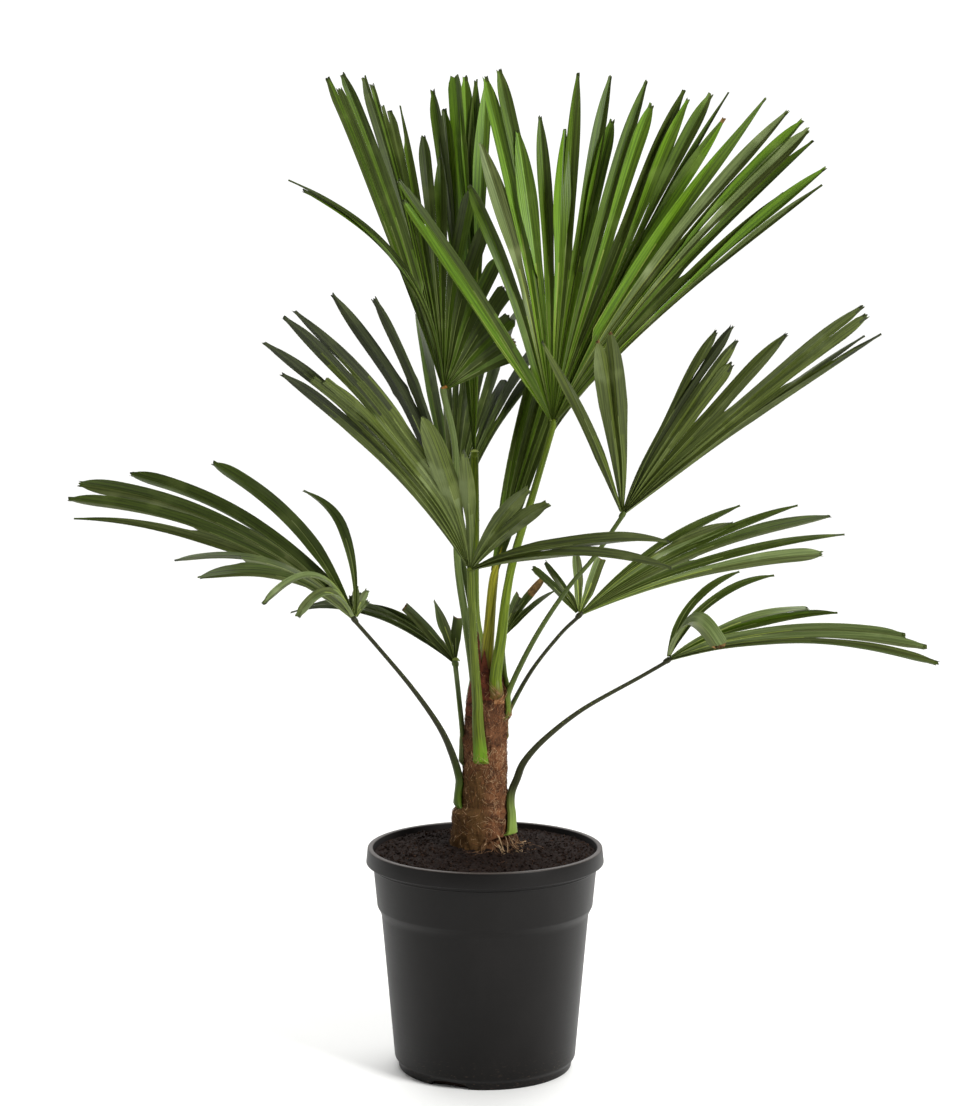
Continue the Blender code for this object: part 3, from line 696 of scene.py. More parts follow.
FRONDS = (
    FrondPlan(
        "right_crown", ((25.0, 0.452), (25.0, 0.470)), (0.0076, 0.0047),
        ((0.0184, -0.011, 0.517), (0.0294, -0.006, 0.598), (0.0577, 0.008, 0.694), (0.080, 0.020, 0.770)),
        Rind.GREEN, Tone.BRIGHT,
        (
            Blade("band", 22, 8, (L(-33.6, 31.5, BL, 0), L(-32.0, 33.7, BL, 1)), (-36, -29), width=0.014,
                  arch=0.01, fused=0.85, joined=True),
            Blade("middle", 4, 10,
                  (L(-18.5, 30, BL, 1), L(-13.8, 34.4, BR, 3), L(-10.3, 42.1, BL, 0), L(-7.9, 42.8, BL, 1),
                   L(-6.2, 35.1, BR, 0), L(-1.6, 36.8, tone=1), L(3.0, 35.1, BR, 0), L(4.9, 42.1, tone=1),
                   L(10.2, 42.4, tone=1), L(11.8, 37.2, BL, 0)), (-21, 13.2), width=0.017, fused=0.48,
                  joined=True),
            Blade("right", -12, 9,
                  (L(13.7, 41.9, tone=1), L(15.7, 39.4, BL, 0), L(20.0, 42.1, tone=2), L(21.3, 41.2, SI, 0),
                   L(24.3, 42.8, BL, 1), L(26.6, 43.9, TH, 1), L(28.1, 40.9, SI, 0)), (12.4, 29.6),
                  width=0.017, fused=0.56, joined=True),
            Blade("edge", -28, 8,
                  (L(32.6, 45, tone=0), L(36.7, 45.4, tone=3), L(38.0, 42.5, TH, 2), L(39.5, 45.6, BL, 0),
                   L(41.1, 45.4, BL, 3), L(42.7, 44.7, tone=1), L(45.0, 38.3, TH, 2), L(47.1, 43.8, tone=0),
                   L(48.6, 42.2, TH, 3)), (31.4, 50), width=0.018, arch=0.03, fused=0.60),
        ), flare=0.0, tongue=1.2,
    ),
    FrondPlan(
        "left_crown", ((-135.0, 0.440), (-135.0, 0.462)), (0.0055, 0.0040),
        ((-0.022, 0.036, 0.530), (-0.033, 0.046, 0.610), (-0.035, 0.062, 0.732), (-0.050, 0.075, 0.806)),
        Rind.PALE, Tone.MIDDLE,
        (
            Blade("side", 25, 9.4, (L(-35.3, 31, TH, 2), L(-34, 29, tone=1)), (-36.5, -32.5), width=0.012,
                  arch=0.15, fused=0.3),
            Blade("left", 25, 10, (L(-17.9, 39.5, BL, 1), L(-16.5, 38, BL, 2), L(-14.9, 39.6, BL, 1)),
                  (-20.0, -13.6), fused=0.96, joined=True),
            Blade("middle", 5, 14,
                  (L(-13.0, 39.9, BL, 2), L(-11.9, 38.8, BL, 1), L(-10.9, 36, BL, 1), L(-9.7, 35.2, BL, 2),
                   L(-7.4, 35.7, TH), L(-3.4, 31.6, BL), L(0.3, 28.9)), (-14.6, 3), fused=0.93, joined=True),
            Blade("right", -4, 14,
                  (L(6.5, 25, BL, 1), L(13, 21, BL, 2), L(21, 17.5, BL, 1), L(31, 14.5, SQ, 2),
                   L(42, 12, SQ, 1), L(53, 10.5, SQ, 2), L(62, 9, SQ, 1)),
                  (3.4, 67), width=0.018, fused=0.85),
        ), flare=0.0, dry_crest=True,
    ),
    FrondPlan(
        "back_crown", ((175.0, 0.446), (175.0, 0.466)), (0.0055, 0.0045),
        ((-0.006, 0.040, 0.508), (-0.012, 0.057, 0.552), (-0.0118, 0.088, 0.650), (-0.013, 0.120, 0.726)),
        Rind.GREEN, Tone.MIDDLE,
        (
            Blade("fan", 0, 8,
                  (L(-6.5, 45, BL, 1), L(-5, 42.5, BL, 1), L(-3, 46.5, SQ, 0), L(-1.4, 46.5, BL, 0),
                   L(0.2, 46, tone=1), L(1.8, 45.5, BR, 0)), (-8.5, 3.5), arch=0.01, width=0.018),
        ),
    ),
    FrondPlan(
        "young_leaf", (), (0.0064, 0.0058),
        ((0.0015, 0.007, 0.4803), (0.0045, 0.005, 0.523), (0.0103, 0.006, 0.592)),
        Rind.YELLOW, Tone.MIDDLE,
        (
            Blade("fan", 0, 16, (L(12, 34, TH, 1), L(14.5, 37, TH, 2), L(17, 38, TH, 1), L(19.5, 36, TH, 2)),
                  (9.5, 22), width=0.019, arch=0.01, fused=0.9, grip=0.0040),
        ),
    ),
    FrondPlan(
        "right_upper", ((75.0, 0.425), (75.0, 0.448)), (0.0042, 0.0032),
        ((0.045, -0.008, 0.494), (0.069, -0.018, 0.539), (0.099, -0.030, 0.585), (0.127, -0.040, 0.620),
         (0.159, -0.050, 0.669)),
        Rind.OLIVE, Tone.DULL,
        (
            Blade("single", 10, -10, (L(-26.5, 23, tone=1),), (-30, -22), width=0.013, fused=0.4),
            Blade("pair", 0, -8, (L(-8.6, 20.7, SI, 0), L(-4.4, 21.5, SI, 1)), (-14, 8), width=0.021,
                  fused=0.90, pleat=40.0),
            Blade("right", -15, -5,
                  (L(27.4, 24.2, tone=1), L(30.4, 25.5, tone=2), L(33.4, 24.5, tone=0), L(36, 22, BL, 0),
                   L(42.1, 28.5, tone=1)), (18, 45), fused=0.72, joined=True),
            Blade("edge", -15, -5,
                  (L(48.6, 36.8, tone=0), L(50.3, 36.5, BL, 0), L(52.9, 34.8, TH, 1), L(54.4, 36.4, TH, 1)),
                  (45.8, 58), fused=0.85),
        ),
    ),
    FrondPlan(
        "front", ((-10.0, 0.374), (-24.0, 0.440)), (0.0080, 0.0042),
        ((-0.0135, -0.037, 0.515), (-0.017, -0.055, 0.605)),
        Rind.FRESH, Tone.DULL,
        (
            Blade("left", 15, -28,
                  (L(-42.4, 36, TA, 1), L(-41, 40.4, TA, 1), L(-38.8, 33.5, ST, 1), L(-37.0, 32.5, ST, 0),
                   L(-36.2, 41.6, TA, 0), L(-34.4, 41.6, TA, 0)), (-46, -15), width=0.018, arch=0.06,
                  fused=0.70, pleat=24.0),
            Blade("middle", 0, -28,
                  (L(-22.4, 38.9, CR, 2), L(-16.2, 37, SL, 2)), (-25.3, -13), width=0.016, arch=0.045,
                  fused=0.2),
            Blade("middle", 0, -28, (L(-14.0, 21.8, BR, 0), L(-2.5, 16.5, SP, 0)), (-16, 3), width=0.019,
                  arch=0.045, fused=0.3, pleat=30.0),
            Blade("cut", -20, -25, (L(38, 14.4, ST, 0), L(48.9, 14.5, ST, 1)), (28, 56), width=0.017, arch=0.05,
                  fused=0.5, pleat=36.0),
            Blade("right", -45, -20, (L(79, 33, tone=1), L(84.5, 32, tone=1)), (75, 89), width=0.016, arch=0.06,
                  fused=0.35),
        ), flare=0.05, tongue=0.9,
    ),
    FrondPlan(
        "left_lower", ((-85.0, 0.318), (-85.0, 0.345)), (0.0068, 0.0030),
        ((-0.040, -0.002, 0.384), (-0.056, -0.010, 0.418), (-0.086, -0.022, 0.463), (-0.123, -0.033, 0.510),
         (-0.152, -0.040, 0.545)),
        Rind.DARK, Tone.OLIVE,
        (
            Blade("curl", 0, 15, (L(-22, 16.5, SP, 2),), (-27, -17), width=0.013, arch=0.20, fused=0.4,
                  peak=0.62),
            Blade("upper", 12, 25, (L(-38, 25.1, BL, 2),), (-43, -34), width=0.017, arch=0.09, fused=0.4),
            Blade("far", 25, 45,
                  (L(-43, 32, BL, 2), L(-52, 36, BL, 4), L(-56.5, 36, BL, 4), L(-60, 34.5, TH, 4)), (-62, -40),
                  width=0.019, arch=0.09, fused=0.68, joined=True),
            Blade("low", 40, 45, (L(-61, 22.5, BL, 4), L(-65, 19.5, tone=4)), (-69, -58), width=0.018, arch=0.14,
                  fused=0.75),
            Blade("drooping", 70, 52, (L(-70, 16.6, BL, 3), L(-77, 12, BL, 3)), (-82, -66), width=0.011,
                  arch=0.26, fused=0.4),
            Blade("stubs", 20, 32,
                  (L(1, 3.2, tone=3), L(10, 4.0, BR, 3), L(20, 3.7, tone=3), L(30, 4.0, BR, 3), L(41, 3.1, tone=3)),
                  (-4, 46), width=0.0062, arch=0.05, fused=0.3),
        ), flare=0.45,
    ),
    FrondPlan(
        "left_back", ((-94.0, 0.368), (-94.0, 0.400)), (0.0042, 0.0030),
        ((-0.031, 0.032, 0.440), (-0.036, 0.070, 0.476)),
        Rind.PALE, Tone.OLIVE,
        (
            Blade("left", -45, 30, (L(-84, 33, TH, 2), L(-81, 30, tone=4), L(-76.5, 22, tone=1)), (-88, -72),
                  width=0.011, arch=0.10, fused=0.35),
            Blade("upright", -15, 25, (L(-46, 10, SQ), L(-24, 8.5, BR, 3), L(-3, 5.8, SQ)), (-52, 6), width=0.010,
                  arch=0.03, fused=0.3),
        ),
    ),
    FrondPlan(
        "right_back", ((115.0, 0.395), (115.0, 0.418)), (0.0036, 0.0028),
        ((0.053, 0.024, 0.472), (0.088, 0.022, 0.518), (0.112, 0.020, 0.542)),
        Rind.DARK, Tone.OLIVE,
        (
            Blade("right", 25, 25,
                  (L(63, 28.5, TH, 2), L(66, 26, tone=3), L(69.5, 36, TH, 2), L(74, 39.5, tone=4),
                   L(78, 40.5, TH, 2), L(80.5, 36, BL, 3)), (58, 83), width=0.017, arch=0.045, fused=0.5),
            Blade("upright", 0, 15, (L(-44, 8.0, BL, 2), L(-32, 7.6, BL, 4), L(-3, 7.8, BR, 3), L(21, 7.4, SQ, 3)),
                  (-50, 28), width=0.009, arch=0.02, fused=0.25),
        ),
    ),
    FrondPlan(
        "right_lower", ((72.0, 0.284), (78.0, 0.325)), (0.0075, 0.0030),
        ((0.0375, 0.002, 0.350), (0.047, -0.006, 0.373), (0.072, -0.014, 0.402), (0.116, -0.023, 0.438),
         (0.182, -0.036, 0.478), (0.213, -0.040, 0.497)),
        Rind.PALE_FOOT, Tone.OLIVE,
        (
            Blade("upper", 0, 30, (L(38, 14.5, TH, 2), L(50, 17, TH, 2)), (30, 55), width=0.014, arch=0.15,
                  fused=0.4),
            Blade("middle", -20, 40, (L(63, 17.5, SQ, 3), L(67.5, 20.5, TH, 1)), (58, 72), width=0.019,
                  arch=0.08, fused=0.8, joined=True),
            Blade("outer", -25, 40, (L(79, 28, BL, 3), L(82.5, 30.5, BL, 3), L(86.5, 32, BL, 4)), (74, 89),
                  width=0.012, arch=0.075, fused=0.55),
            Blade("folded", -70, 55, (L(62, 8.5, SQ, 3),), (50, 72), width=0.022, arch=0.45, fused=0.4, peak=0.6),
        ), flare=0.55, tongue=0.55,
    ),
    FrondPlan(
        "back", ((-160.0, 0.436), (-160.0, 0.458)), (0.0040, 0.0034),
        ((-0.014, 0.062, 0.530), (-0.026, 0.094, 0.590), (-0.039, 0.130, 0.650)),
        # This frond, behind the crown, is painted in shade tones.
        Rind.OLIVE, Tone.SHADED,
        (
            Blade("fan", 0, 50,
                  (L(-8, 38), L(-4, 40), L(0, 41), L(4, 41), L(8, 40), L(12, 39), L(16, 25, SQ), L(20, 36),
                   L(24, 33)), (-11, 27), arch=0.06, fused=0.45),
        ),
    ),
    FrondPlan(
        "rear", ((98.0, 0.452), (98.0, 0.468)), (0.0042, 0.0036),
        ((0.0191, 0.030, 0.511), (0.0246, 0.048, 0.553), (0.0326, 0.070, 0.6025), (0.0598, 0.115, 0.6844),
         (0.078, 0.165, 0.741)),
        Rind.OLIVE, Tone.MIDDLE,
        (
            Blade("fan", -15, 42,
                  (L(-19, 25), L(-12.5, 26), L(-6, 27), L(0.5, 27), L(7, 27), L(13.5, 26.5), L(20, 26),
                   L(26.5, 25)), (-23, 30), width=0.020, arch=0.05, fused=0.55),
        ),
    ),
    FrondPlan(
        "low_back", ((145.0, 0.418), (145.0, 0.440)), (0.0032, 0.0028),
        ((0.020, 0.046, 0.480), (0.022, 0.062, 0.510)),
        Rind.OLIVE, Tone.OLIVE,
        (
            Blade("fan", 20, 30, (L(30, 6.0, SQ), L(42, 10.3, SC), L(54, 10.0, TH)), (24, 59), width=0.011,
                  arch=0.05, fused=0.4),
        ),
    ),
)


# Pot and soil

@dataclass
class Pot:
    """A round nursery pot, turned from one profile of (radius, height), with two drain notches."""

    height: float = 0.267
    rim_radius: float = 0.140
    rim_flare: float = 0.002
    band: float = 0.0185
    neck_radius: float = 0.1335
    shoulder_top: tuple[float, float] = (0.1288, 0.197)
    shoulder_foot: tuple[float, float] = (0.1240, 0.188)
    body_foot: float = 0.1085
    foot_radius: float = 0.1035
    foot_height: float = 0.010
    wall: float = 0.0025
    floor: float = 0.003
    notches: tuple[float, ...] = (-24.0, 156.0)
    notch_size: tuple[float, float] = (0.048, 0.0080)
    segments: int = 192

    def corners(self) -> list[tuple[float, float, float]]:
        """Corners of the profile, each with the radius that it is rounded to."""
        under = self.height - self.band
        outer = self.rim_radius + self.rim_flare
        outside = [
            (self.neck_radius + 0.0005, self.height, 0.0012),
            (self.rim_radius, self.height, 0.0016),
            (outer, under, 0.0018),
            (self.neck_radius + 0.0006, under - 0.001, 0.0008),
            (self.neck_radius, under - 0.003, 0.001),
            (self.neck_radius - 0.0001, under - 0.0045, 0.0002),
            (self.neck_radius + 0.0002, under - 0.0052, 0.0003),
            (self.neck_radius - 0.0003, under - 0.0059, 0.0002),
            (*self.shoulder_top, 0.0012),
            (*self.shoulder_foot, 0.004),
            (self.body_foot, self.foot_height + 0.003, 0.002),
            (self.foot_radius + 0.001, self.foot_height - 0.002, 0.002),
            (self.foot_radius, 0.0, 0.0015),
        ]
        return outside + self.underside() + self.inside()

    def underside(self) -> list[tuple[float, float, float]]:
        """The standing ring, and a shallow recess with two moulded rings inside it."""
        depth = 0.0012
        recess = [(self.foot_radius - 0.008, 0.0, 0.0004), (self.foot_radius - 0.0095, depth, 0.0004)]
        for radius in (0.066, 0.034):
            recess += [(radius + 0.002, depth, 0.0003), (radius + 0.001, 0.0004, 0.0003),
                       (radius - 0.001, 0.0004, 0.0003), (radius - 0.002, depth, 0.0003)]
        return recess + [(0.0, depth, 0.0)]

    def inside(self) -> list[tuple[float, float, float]]:
        """The floor's top and the inner wall, up to the lip."""
        return [
            (0.0, self.floor, 0.0),
            (self.foot_radius - self.wall, self.floor, 0.001),
            (self.foot_radius - self.wall, self.foot_height, 0.001),
            (self.body_foot - self.wall, self.foot_height + 0.006, 0.001),
            (self.shoulder_foot[0] - self.wall, self.shoulder_foot[1], 0.003),
            (self.shoulder_top[0] - self.wall, self.shoulder_top[1], 0.003),
            (self.neck_radius - self.wall, self.height - self.band, 0.003),
        ]

    def profile(self) -> Array:
        """The closed profile with every corner rounded."""
        corners = self.corners()
        line = []
        for k, (radius, height, ease) in enumerate(corners):
            here = np.array((radius, height))
            if ease == 0.0:
                line.append(here)
                continue
            arms = []
            for other in (corners[k - 1], corners[(k + 1) % len(corners)]):
                arm = np.array(other[:2]) - here
                arms.append(here + unit(arm) * min(ease, 0.45 * np.linalg.norm(arm)))
            for share in np.linspace(0.0, 1.0, 5):
                line.append((1 - share) ** 2 * arms[0] + 2 * share * (1 - share) * here + share ** 2 * arms[1])
        return np.array(line)

    def build(self) -> None:
        """Turn the profile and cut the notches."""
        line = self.profile()
        rows = len(line)
        ways = compass(np.arange(self.segments) * 360.0 / self.segments)
        points = line[:, None, :1] * ways[None] + line[:, None, 1:] * UP
        faces = lattice(rows + 1, self.segments, closed=True)
        faces %= rows * self.segments
        outer_rows = sum(1 if ease == 0.0 else 5 for _, _, ease in self.corners()[:-len(self.inside())])
        finish = (np.repeat(np.arange(rows), self.segments) >= outer_rows).astype(int)
        builder = MeshBuilder()
        builder.add(points, faces, finish)
        # The inside is painted darker, as painted shade within the pot, and made duller.
        finishes = [material(PotFinish()), material(PotFinish("stained_polypropylene", "#090605", "#120b08", 0.62))]
        body = builder.build("pot_shell", finishes, sharp=50.0)
        bm = bmesh.new()
        bm.from_mesh(body.data)
        bmesh.ops.remove_doubles(bm, verts=bm.verts, dist=0.00003)
        bmesh.ops.dissolve_degenerate(bm, dist=0.00001, edges=bm.edges)
        bmesh.ops.recalc_face_normals(bm, faces=bm.faces)
        bm.to_mesh(body.data)
        bm.free()
        for angle in self.notches:
            self.cut_notch(body, angle)
        place(body, "pot", "pot")

    def cut_notch(self, body: bpy.types.Object, angle: float) -> None:
        """Cut one arched drain notch through the wall's foot.

        Args:
            body: The pot.
            angle: Compass angle of the notch.
        """
        width, high = self.notch_size
        turn = np.linspace(0.0, math.pi, 17)
        arch = np.stack((0.5 * width * np.cos(turn), high * np.sin(turn) ** 0.7), axis=-1)
        outline = np.concatenate((arch, [(-0.5 * width, -0.003), (0.5 * width, -0.003)]))
        outward = compass(angle)
        aside = np.cross(UP, outward)
        rings = []
        for depth in (-0.009, 0.009):
            middle = outward * (self.foot_radius + depth)
            rings.append(middle + outline[:, :1] * aside + outline[:, 1:] * UP)
        builder = MeshBuilder()
        builder.add_rings(np.array(rings))
        cutter = builder.build("notch_cutter", [])
        cut = body.modifiers.new("notch", "BOOLEAN")
        cut.object = cutter
        bpy.context.view_layer.update()
        evaluated = body.evaluated_get(bpy.context.evaluated_depsgraph_get())
        old, body.data = body.data, bpy.data.meshes.new_from_object(evaluated)
        body.modifiers.clear()
        bpy.data.meshes.remove(old)
        bpy.data.objects.remove(cutter)
        body.data.name = body.name


@dataclass
class Soil:
    """Moist peat compost that fills the pot, mounded round the trunk and strewn with crumbs."""

    pot: Pot
    mound: tuple[tuple[float, float], ...] = ((0.0, 0.2677), (0.046, 0.2672), (0.066, 0.2655), (0.095, 0.2634),
                                              (0.118, 0.2614), (0.1345, 0.2600))
    gap: float = 0.0003
    crumbs: int = 3000
    chips: int = 130
    hollow: tuple[float, float, float] = (0.023, -0.020, 0.008)
    random: np.random.Generator = field(default_factory=lambda: np.random.default_rng(41))

    def height(self, places: Array) -> Array:
        """Height of the compost at places given by X and Y."""
        radius = np.hypot(places[..., 0], places[..., 1])
        flat = np.stack((places[..., 0], places[..., 1], np.zeros_like(radius)), axis=-1)
        base = np.interp(radius, *zip(*self.mound))
        rough = 0.0009 * ripple(flat, 0.016, 3) + 0.0005 * ripple(flat, 0.006, 4) + 0.0003 * ripple(flat, 0.0028, 5)
        away = np.hypot(places[..., 0] - self.hollow[0], places[..., 1] - self.hollow[1])
        return base + rough - self.hollow[2] * np.exp(-(away / 0.012) ** 2)

    def build(self) -> None:
        """Make the body of the compost and then what lies on it."""
        finishes = [material(DryFinish("peat_dark", "#1c110c", "#120b08", 3 * MILLIMETRE, 0.95, 0.6 * MILLIMETRE)),
                    material(DryFinish("peat_brown", "#24170f", "#1a100a", 2 * MILLIMETRE, 0.95)),
                    material(DryFinish("peat_fibre", "#3c2a1d", "#2a1c14", 2 * MILLIMETRE, 0.9))]
        self.build_body(finishes)
        self.build_litter(finishes)

    def build_body(self, finishes: Sequence[bpy.types.Material]) -> None:
        """The surface is a polar grid; below it a plain skin follows the pot's inner wall."""
        wall = [(radius - self.gap, height) for radius, height, _ in reversed(self.pot.inside()[1:])]
        neck, lip = self.pot.inside()[-1], self.pot.corners()[0]
        edge = np.interp(self.mound[-1][1], (neck[1], lip[1]), (neck[0], lip[0])) - self.gap
        ways = compass(np.arange(240) * 1.5)
        radii = edge * np.linspace(0.02, 1.0, 72) ** 0.8
        top = radii[:, None, None] * ways[None]
        top[..., 2] = self.height(top)
        top[-1, :, 2] = self.mound[-1][1]
        skirt = np.array([radius * ways + height * UP for radius, height in wall])
        skirt[-1, :, 2] += self.gap
        builder = MeshBuilder()
        builder.add_rings(np.concatenate((top, skirt)))
        place(builder.build("soil_body", finishes[:1], sharp=60.0), "soil", "soil")

    def build_litter(self, finishes: Sequence[bpy.types.Material]) -> None:
        """Crumbs of peat and chips of fibre, strewn evenly between the trunk and the wall."""
        golden = (1 + 5 ** 0.5) / 2
        corners = [(0, s, t * golden) for s in (-1, 1) for t in (-1, 1)]
        ball = unit(np.array(corners + [p[2:] + p[:2] for p in corners] + [p[1:] + p[:1] for p in corners], float))
        hull = bmesh.new()
        for corner in ball:
            hull.verts.new(corner)
        bmesh.ops.convex_hull(hull, input=hull.verts)
        hull.verts.index_update()
        faces = np.array([[v.index for v in face.verts] for face in hull.faces])
        hull.free()
        builder = MeshBuilder()
        for number in range(self.crumbs + self.chips):
            chip = number >= self.crumbs
            radius = 0.128 * self.random.uniform(0.10, 1.0) ** 0.5
            where = radius * compass(self.random.uniform(0.0, 360.0))
            where[2] = self.height(where)
            size = self.random.uniform(0.0003, 0.0006) if chip else 0.0005 + 0.0014 * self.random.random() ** 3
            stretch = np.array((1, 1, self.random.uniform(4, 9))) if chip else self.random.uniform(0.6, 1.3, 3)
            shape = ball * stretch * size * self.random.uniform(0.8, 1.2, (len(ball), 1))
            turn = unit(self.random.normal(size=3) * ((1, 1, 0.15) if chip else (1, 1, 1)))
            side = unit(np.cross(turn, self.random.normal(size=3)))
            spin = np.stack((side, np.cross(turn, side), turn))
            finish = self.random.choice(3, p=(0.1, 0.3, 0.6) if chip else (0.55, 0.4, 0.05))
            builder.add(shape @ spin + where + UP * size * 0.4, faces, finish)
        place(builder.build("soil_crumbs", finishes, sharp=20.0), "soil", "soil")


# Trunk

@dataclass
class Trunk:
    """A short trunk wrapped in old leaf bases and their woven fibre."""

    y: float = 0.012
    rings: tuple[tuple[float, float, float], ...] = (
        (0.2640, -0.0060, 0.0362), (0.2680, -0.0060, 0.0355), (0.2760, -0.0060, 0.0345),
        (0.2900, -0.0055, 0.0330), (0.3080, -0.0050, 0.0318), (0.3150, -0.0010, 0.0262),
        (0.3450, 0.0000, 0.0250), (0.3930, 0.0000, 0.0243), (0.4300, 0.0020, 0.0232),
        (0.4550, 0.0030, 0.0210), (0.4700, 0.0030, 0.0165), (0.4800, 0.0030, 0.0115),
    )
    scales: int = 11
    strands: int = 4700
    hairs: int = 700
    collar_threads: int = 90
    undercut: tuple[float, float, float] = (48.0, 0.282, 0.009)
    random: np.random.Generator = field(default_factory=lambda: np.random.default_rng(7))

    def at(self, height: Array | float) -> tuple[Array, Array]:
        """Middle and radius of the plain trunk at heights."""
        levels, middles, radii = zip(*self.rings)
        x = np.interp(height, levels, middles)
        centre = np.stack((x, np.full_like(x, self.y), np.asarray(height, float)), axis=-1)
        return centre, np.interp(height, levels, radii)

    def surface(self, angle: Array, height: Array, stand_off: float = 0.0) -> Array:
        """Places on the rough trunk at compass angles and heights.

        Args:
            angle: Compass angles.
            height: Heights, of the same shape.
            stand_off: Distance outside the surface.

        Returns:
            The places.
        """
        centre, radius = self.at(height)
        way = compass(angle)
        plain = centre + way * radius[..., None]
        girth = np.radians(angle) * radius
        relief = 0.0009 * ripple(plain, 0.020, 11)
        relief += 0.0005 * ripple(plain * np.array((1, 1, 0.2)), 0.004, 12)
        slant = math.tau / 0.0032
        relief += 0.00025 * np.sin((girth + 0.8 * height) * slant) * np.sin((girth - 0.8 * height) * slant)
        for number in range(self.scales):
            middle = 137.5 * number
            top = 0.292 + 0.016 * number
            apart = np.abs((angle - middle + 180.0) % 360.0 - 180.0) / 75.0
            edge = top - 0.022 * apart ** 2 + 0.002 * ripple(plain, 0.006, 20 + number)
            inside = smooth((edge - height) / 0.0018) * smooth((1.15 - apart) / 0.3)
            relief += inside * 0.0014 * np.exp(-np.maximum(edge - height, 0.0) / 0.03)
        middle, top, depth = self.undercut
        apart = np.abs((angle - middle + 180.0) % 360.0 - 180.0) / 36.0
        rim = top - 0.006 * apart ** 2 + 0.0015 * ripple(plain, 0.008, 40)
        relief -= depth * smooth((rim - height) / 0.004) * smooth((1.2 - apart) / 0.4)
        return plain + way * (relief + stand_off)[..., None]

    def build(self) -> None:
        """Make the body, its woven strands, its loose hairs and the scraps of sheath at its top."""
        self.build_body()
        self.build_weave()
        self.build_hairs()
        self.build_sheaths()

    def fibres(self) -> list[bpy.types.Material]:
        """Dark, red and pale fibre."""
        return [material(DryFinish("fibre_dark", "#432a1e", "#2f1e16", 5 * MILLIMETRE)),
                material(DryFinish("fibre_red", "#8a5a3a", "#6c432d", 5 * MILLIMETRE)),
                material(DryFinish("fibre_pale", "#c4a47e", "#a07f5e", 5 * MILLIMETRE))]

    def build_body(self) -> None:
        """A closed skin with the relief of scales and fibre."""
        heights = np.linspace(self.rings[0][0], self.rings[-1][0], 170)
        angles = np.arange(150) * 360.0 / 150
        angle, height = np.meshgrid(angles, heights)
        uv = np.stack((np.radians(angle) * 0.025, height), axis=-1)
        points = self.surface(angle, height)
        builder = MeshBuilder()
        builder.add_rings(points, uv=uv)
        place(builder.build("trunk_body", [material(BarkFinish())], sharp=60.0), "bark", "trunk")

    def build_weave(self) -> None:
        """Short crossing strands that lie on the skin, fewer of them on the bare rind low on the left."""
        builder = MeshBuilder()
        step = np.linspace(0.0, 1.0, 7)
        for _ in range(self.strands):
            start, foot = self.random.uniform(0.0, 360.0), self.random.uniform(0.270, 0.468)
            way = self.random.choice((-1.0, 1.0))
            length = self.random.uniform(0.003, 0.010)
            slope = math.radians(self.random.uniform(10.0, 80.0))
            wave = self.random.uniform(-12.0, 12.0) * np.sin(math.pi * step) * length / 0.010
            angle = start + way * np.degrees(length * math.cos(slope) / 0.026) * step + 0.25 * wave
            height = np.minimum(foot + length * math.sin(slope) * step, 0.476)
            bow = 0.0012 * np.sin(math.pi * step) * self.random.random()
            path = self.surface(angle, height, self.random.uniform(0.0, 0.0005)) + bow[:, None] * compass(angle)
            bare = foot < 0.372 and path[0, 0] < 0.0 and path[0, 1] < self.y
            # Above the lower trunk fewer strands are pale, which paints shade on the trunk's upper part.
            finish = self.random.choice(3, p=(0.58, 0.36, 0.06) if foot > 0.385 else (0.28, 0.42, 0.30))
            if bare and self.random.random() < 0.7:
                continue
            builder.add_tube(path, self.random.uniform(0.00008, 0.00018), 3, finish)
        place(builder.build("trunk_fibre", self.fibres()), "bark", "trunk")

    def build_hairs(self) -> None:
        """Loose hairs that stand off the skin, and threads that cling round the feet of the stalks."""
        builder = MeshBuilder()
        step = np.linspace(0.0, 1.0, 7)
        for _ in range(self.hairs):
            start, foot = self.random.uniform(0.0, 360.0), self.random.uniform(0.275, 0.474)
            length = self.random.uniform(0.002, 0.006)
            lean = self.random.uniform(0.3, 1.2)
            root = self.surface(np.array([start]), np.array([foot]))[0]
            way = unit(UP + lean * compass(start) + 0.5 * self.random.normal(size=3))
            curl = self.random.normal(size=3) * 0.25
            path = root + length * (step[:, None] * way + (step ** 2)[:, None] * curl)
            radius = 0.00016 * (1.0 - 0.7 * step)
            builder.add_tube(path, radius, 3, self.random.choice(3, p=(0.3, 0.4, 0.3)))
        for plan in FRONDS:
            if plan.seats and plan.seats[0][1] > 0.37:
                self.add_collar(builder, plan)
        place(builder.build("trunk_hairs", self.fibres()), "bark", "trunk")

    def add_collar(self, builder: MeshBuilder, plan: "FrondPlan") -> None:
        """Threads of torn sheath that wrap the foot of one stalk.

        Args:
            builder: Where they go.
            plan: The stalk's frond.
        """
        step = np.linspace(0.0, 1.0, 7)
        middle, seat = plan.seats[0]
        size = plan.radius[0]
        radius = float(self.at(seat)[1])
        wide = 1.5 * size
        for _ in range(self.collar_threads):
            offset = self.random.uniform(-1.5, 1.5) * wide
            low = seat + self.random.uniform(-3.0, 0.8) * size
            length = self.random.uniform(0.005, 0.014)
            slant = self.random.uniform(-0.8, 0.8)
            across = offset + slant * length * step
            height = low + length * step
            over = np.sqrt(np.clip(1.0 - (across / wide) ** 2, 0.0, 1.0))
            cover = (2.0 - 0.35) * size * over * smooth((height - seat + 2.2 * size) / (2.4 * size))
            angle = middle + np.degrees(across / radius)
            path = self.surface(angle, height) + compass(angle) * (cover + 0.0004)[:, None]
            thick = self.random.uniform(0.00012, 0.00026) * (1.0 - 0.6 * step)
            builder.add_tube(path, thick, 3, self.random.choice(3, p=(0.35, 0.45, 0.20)))

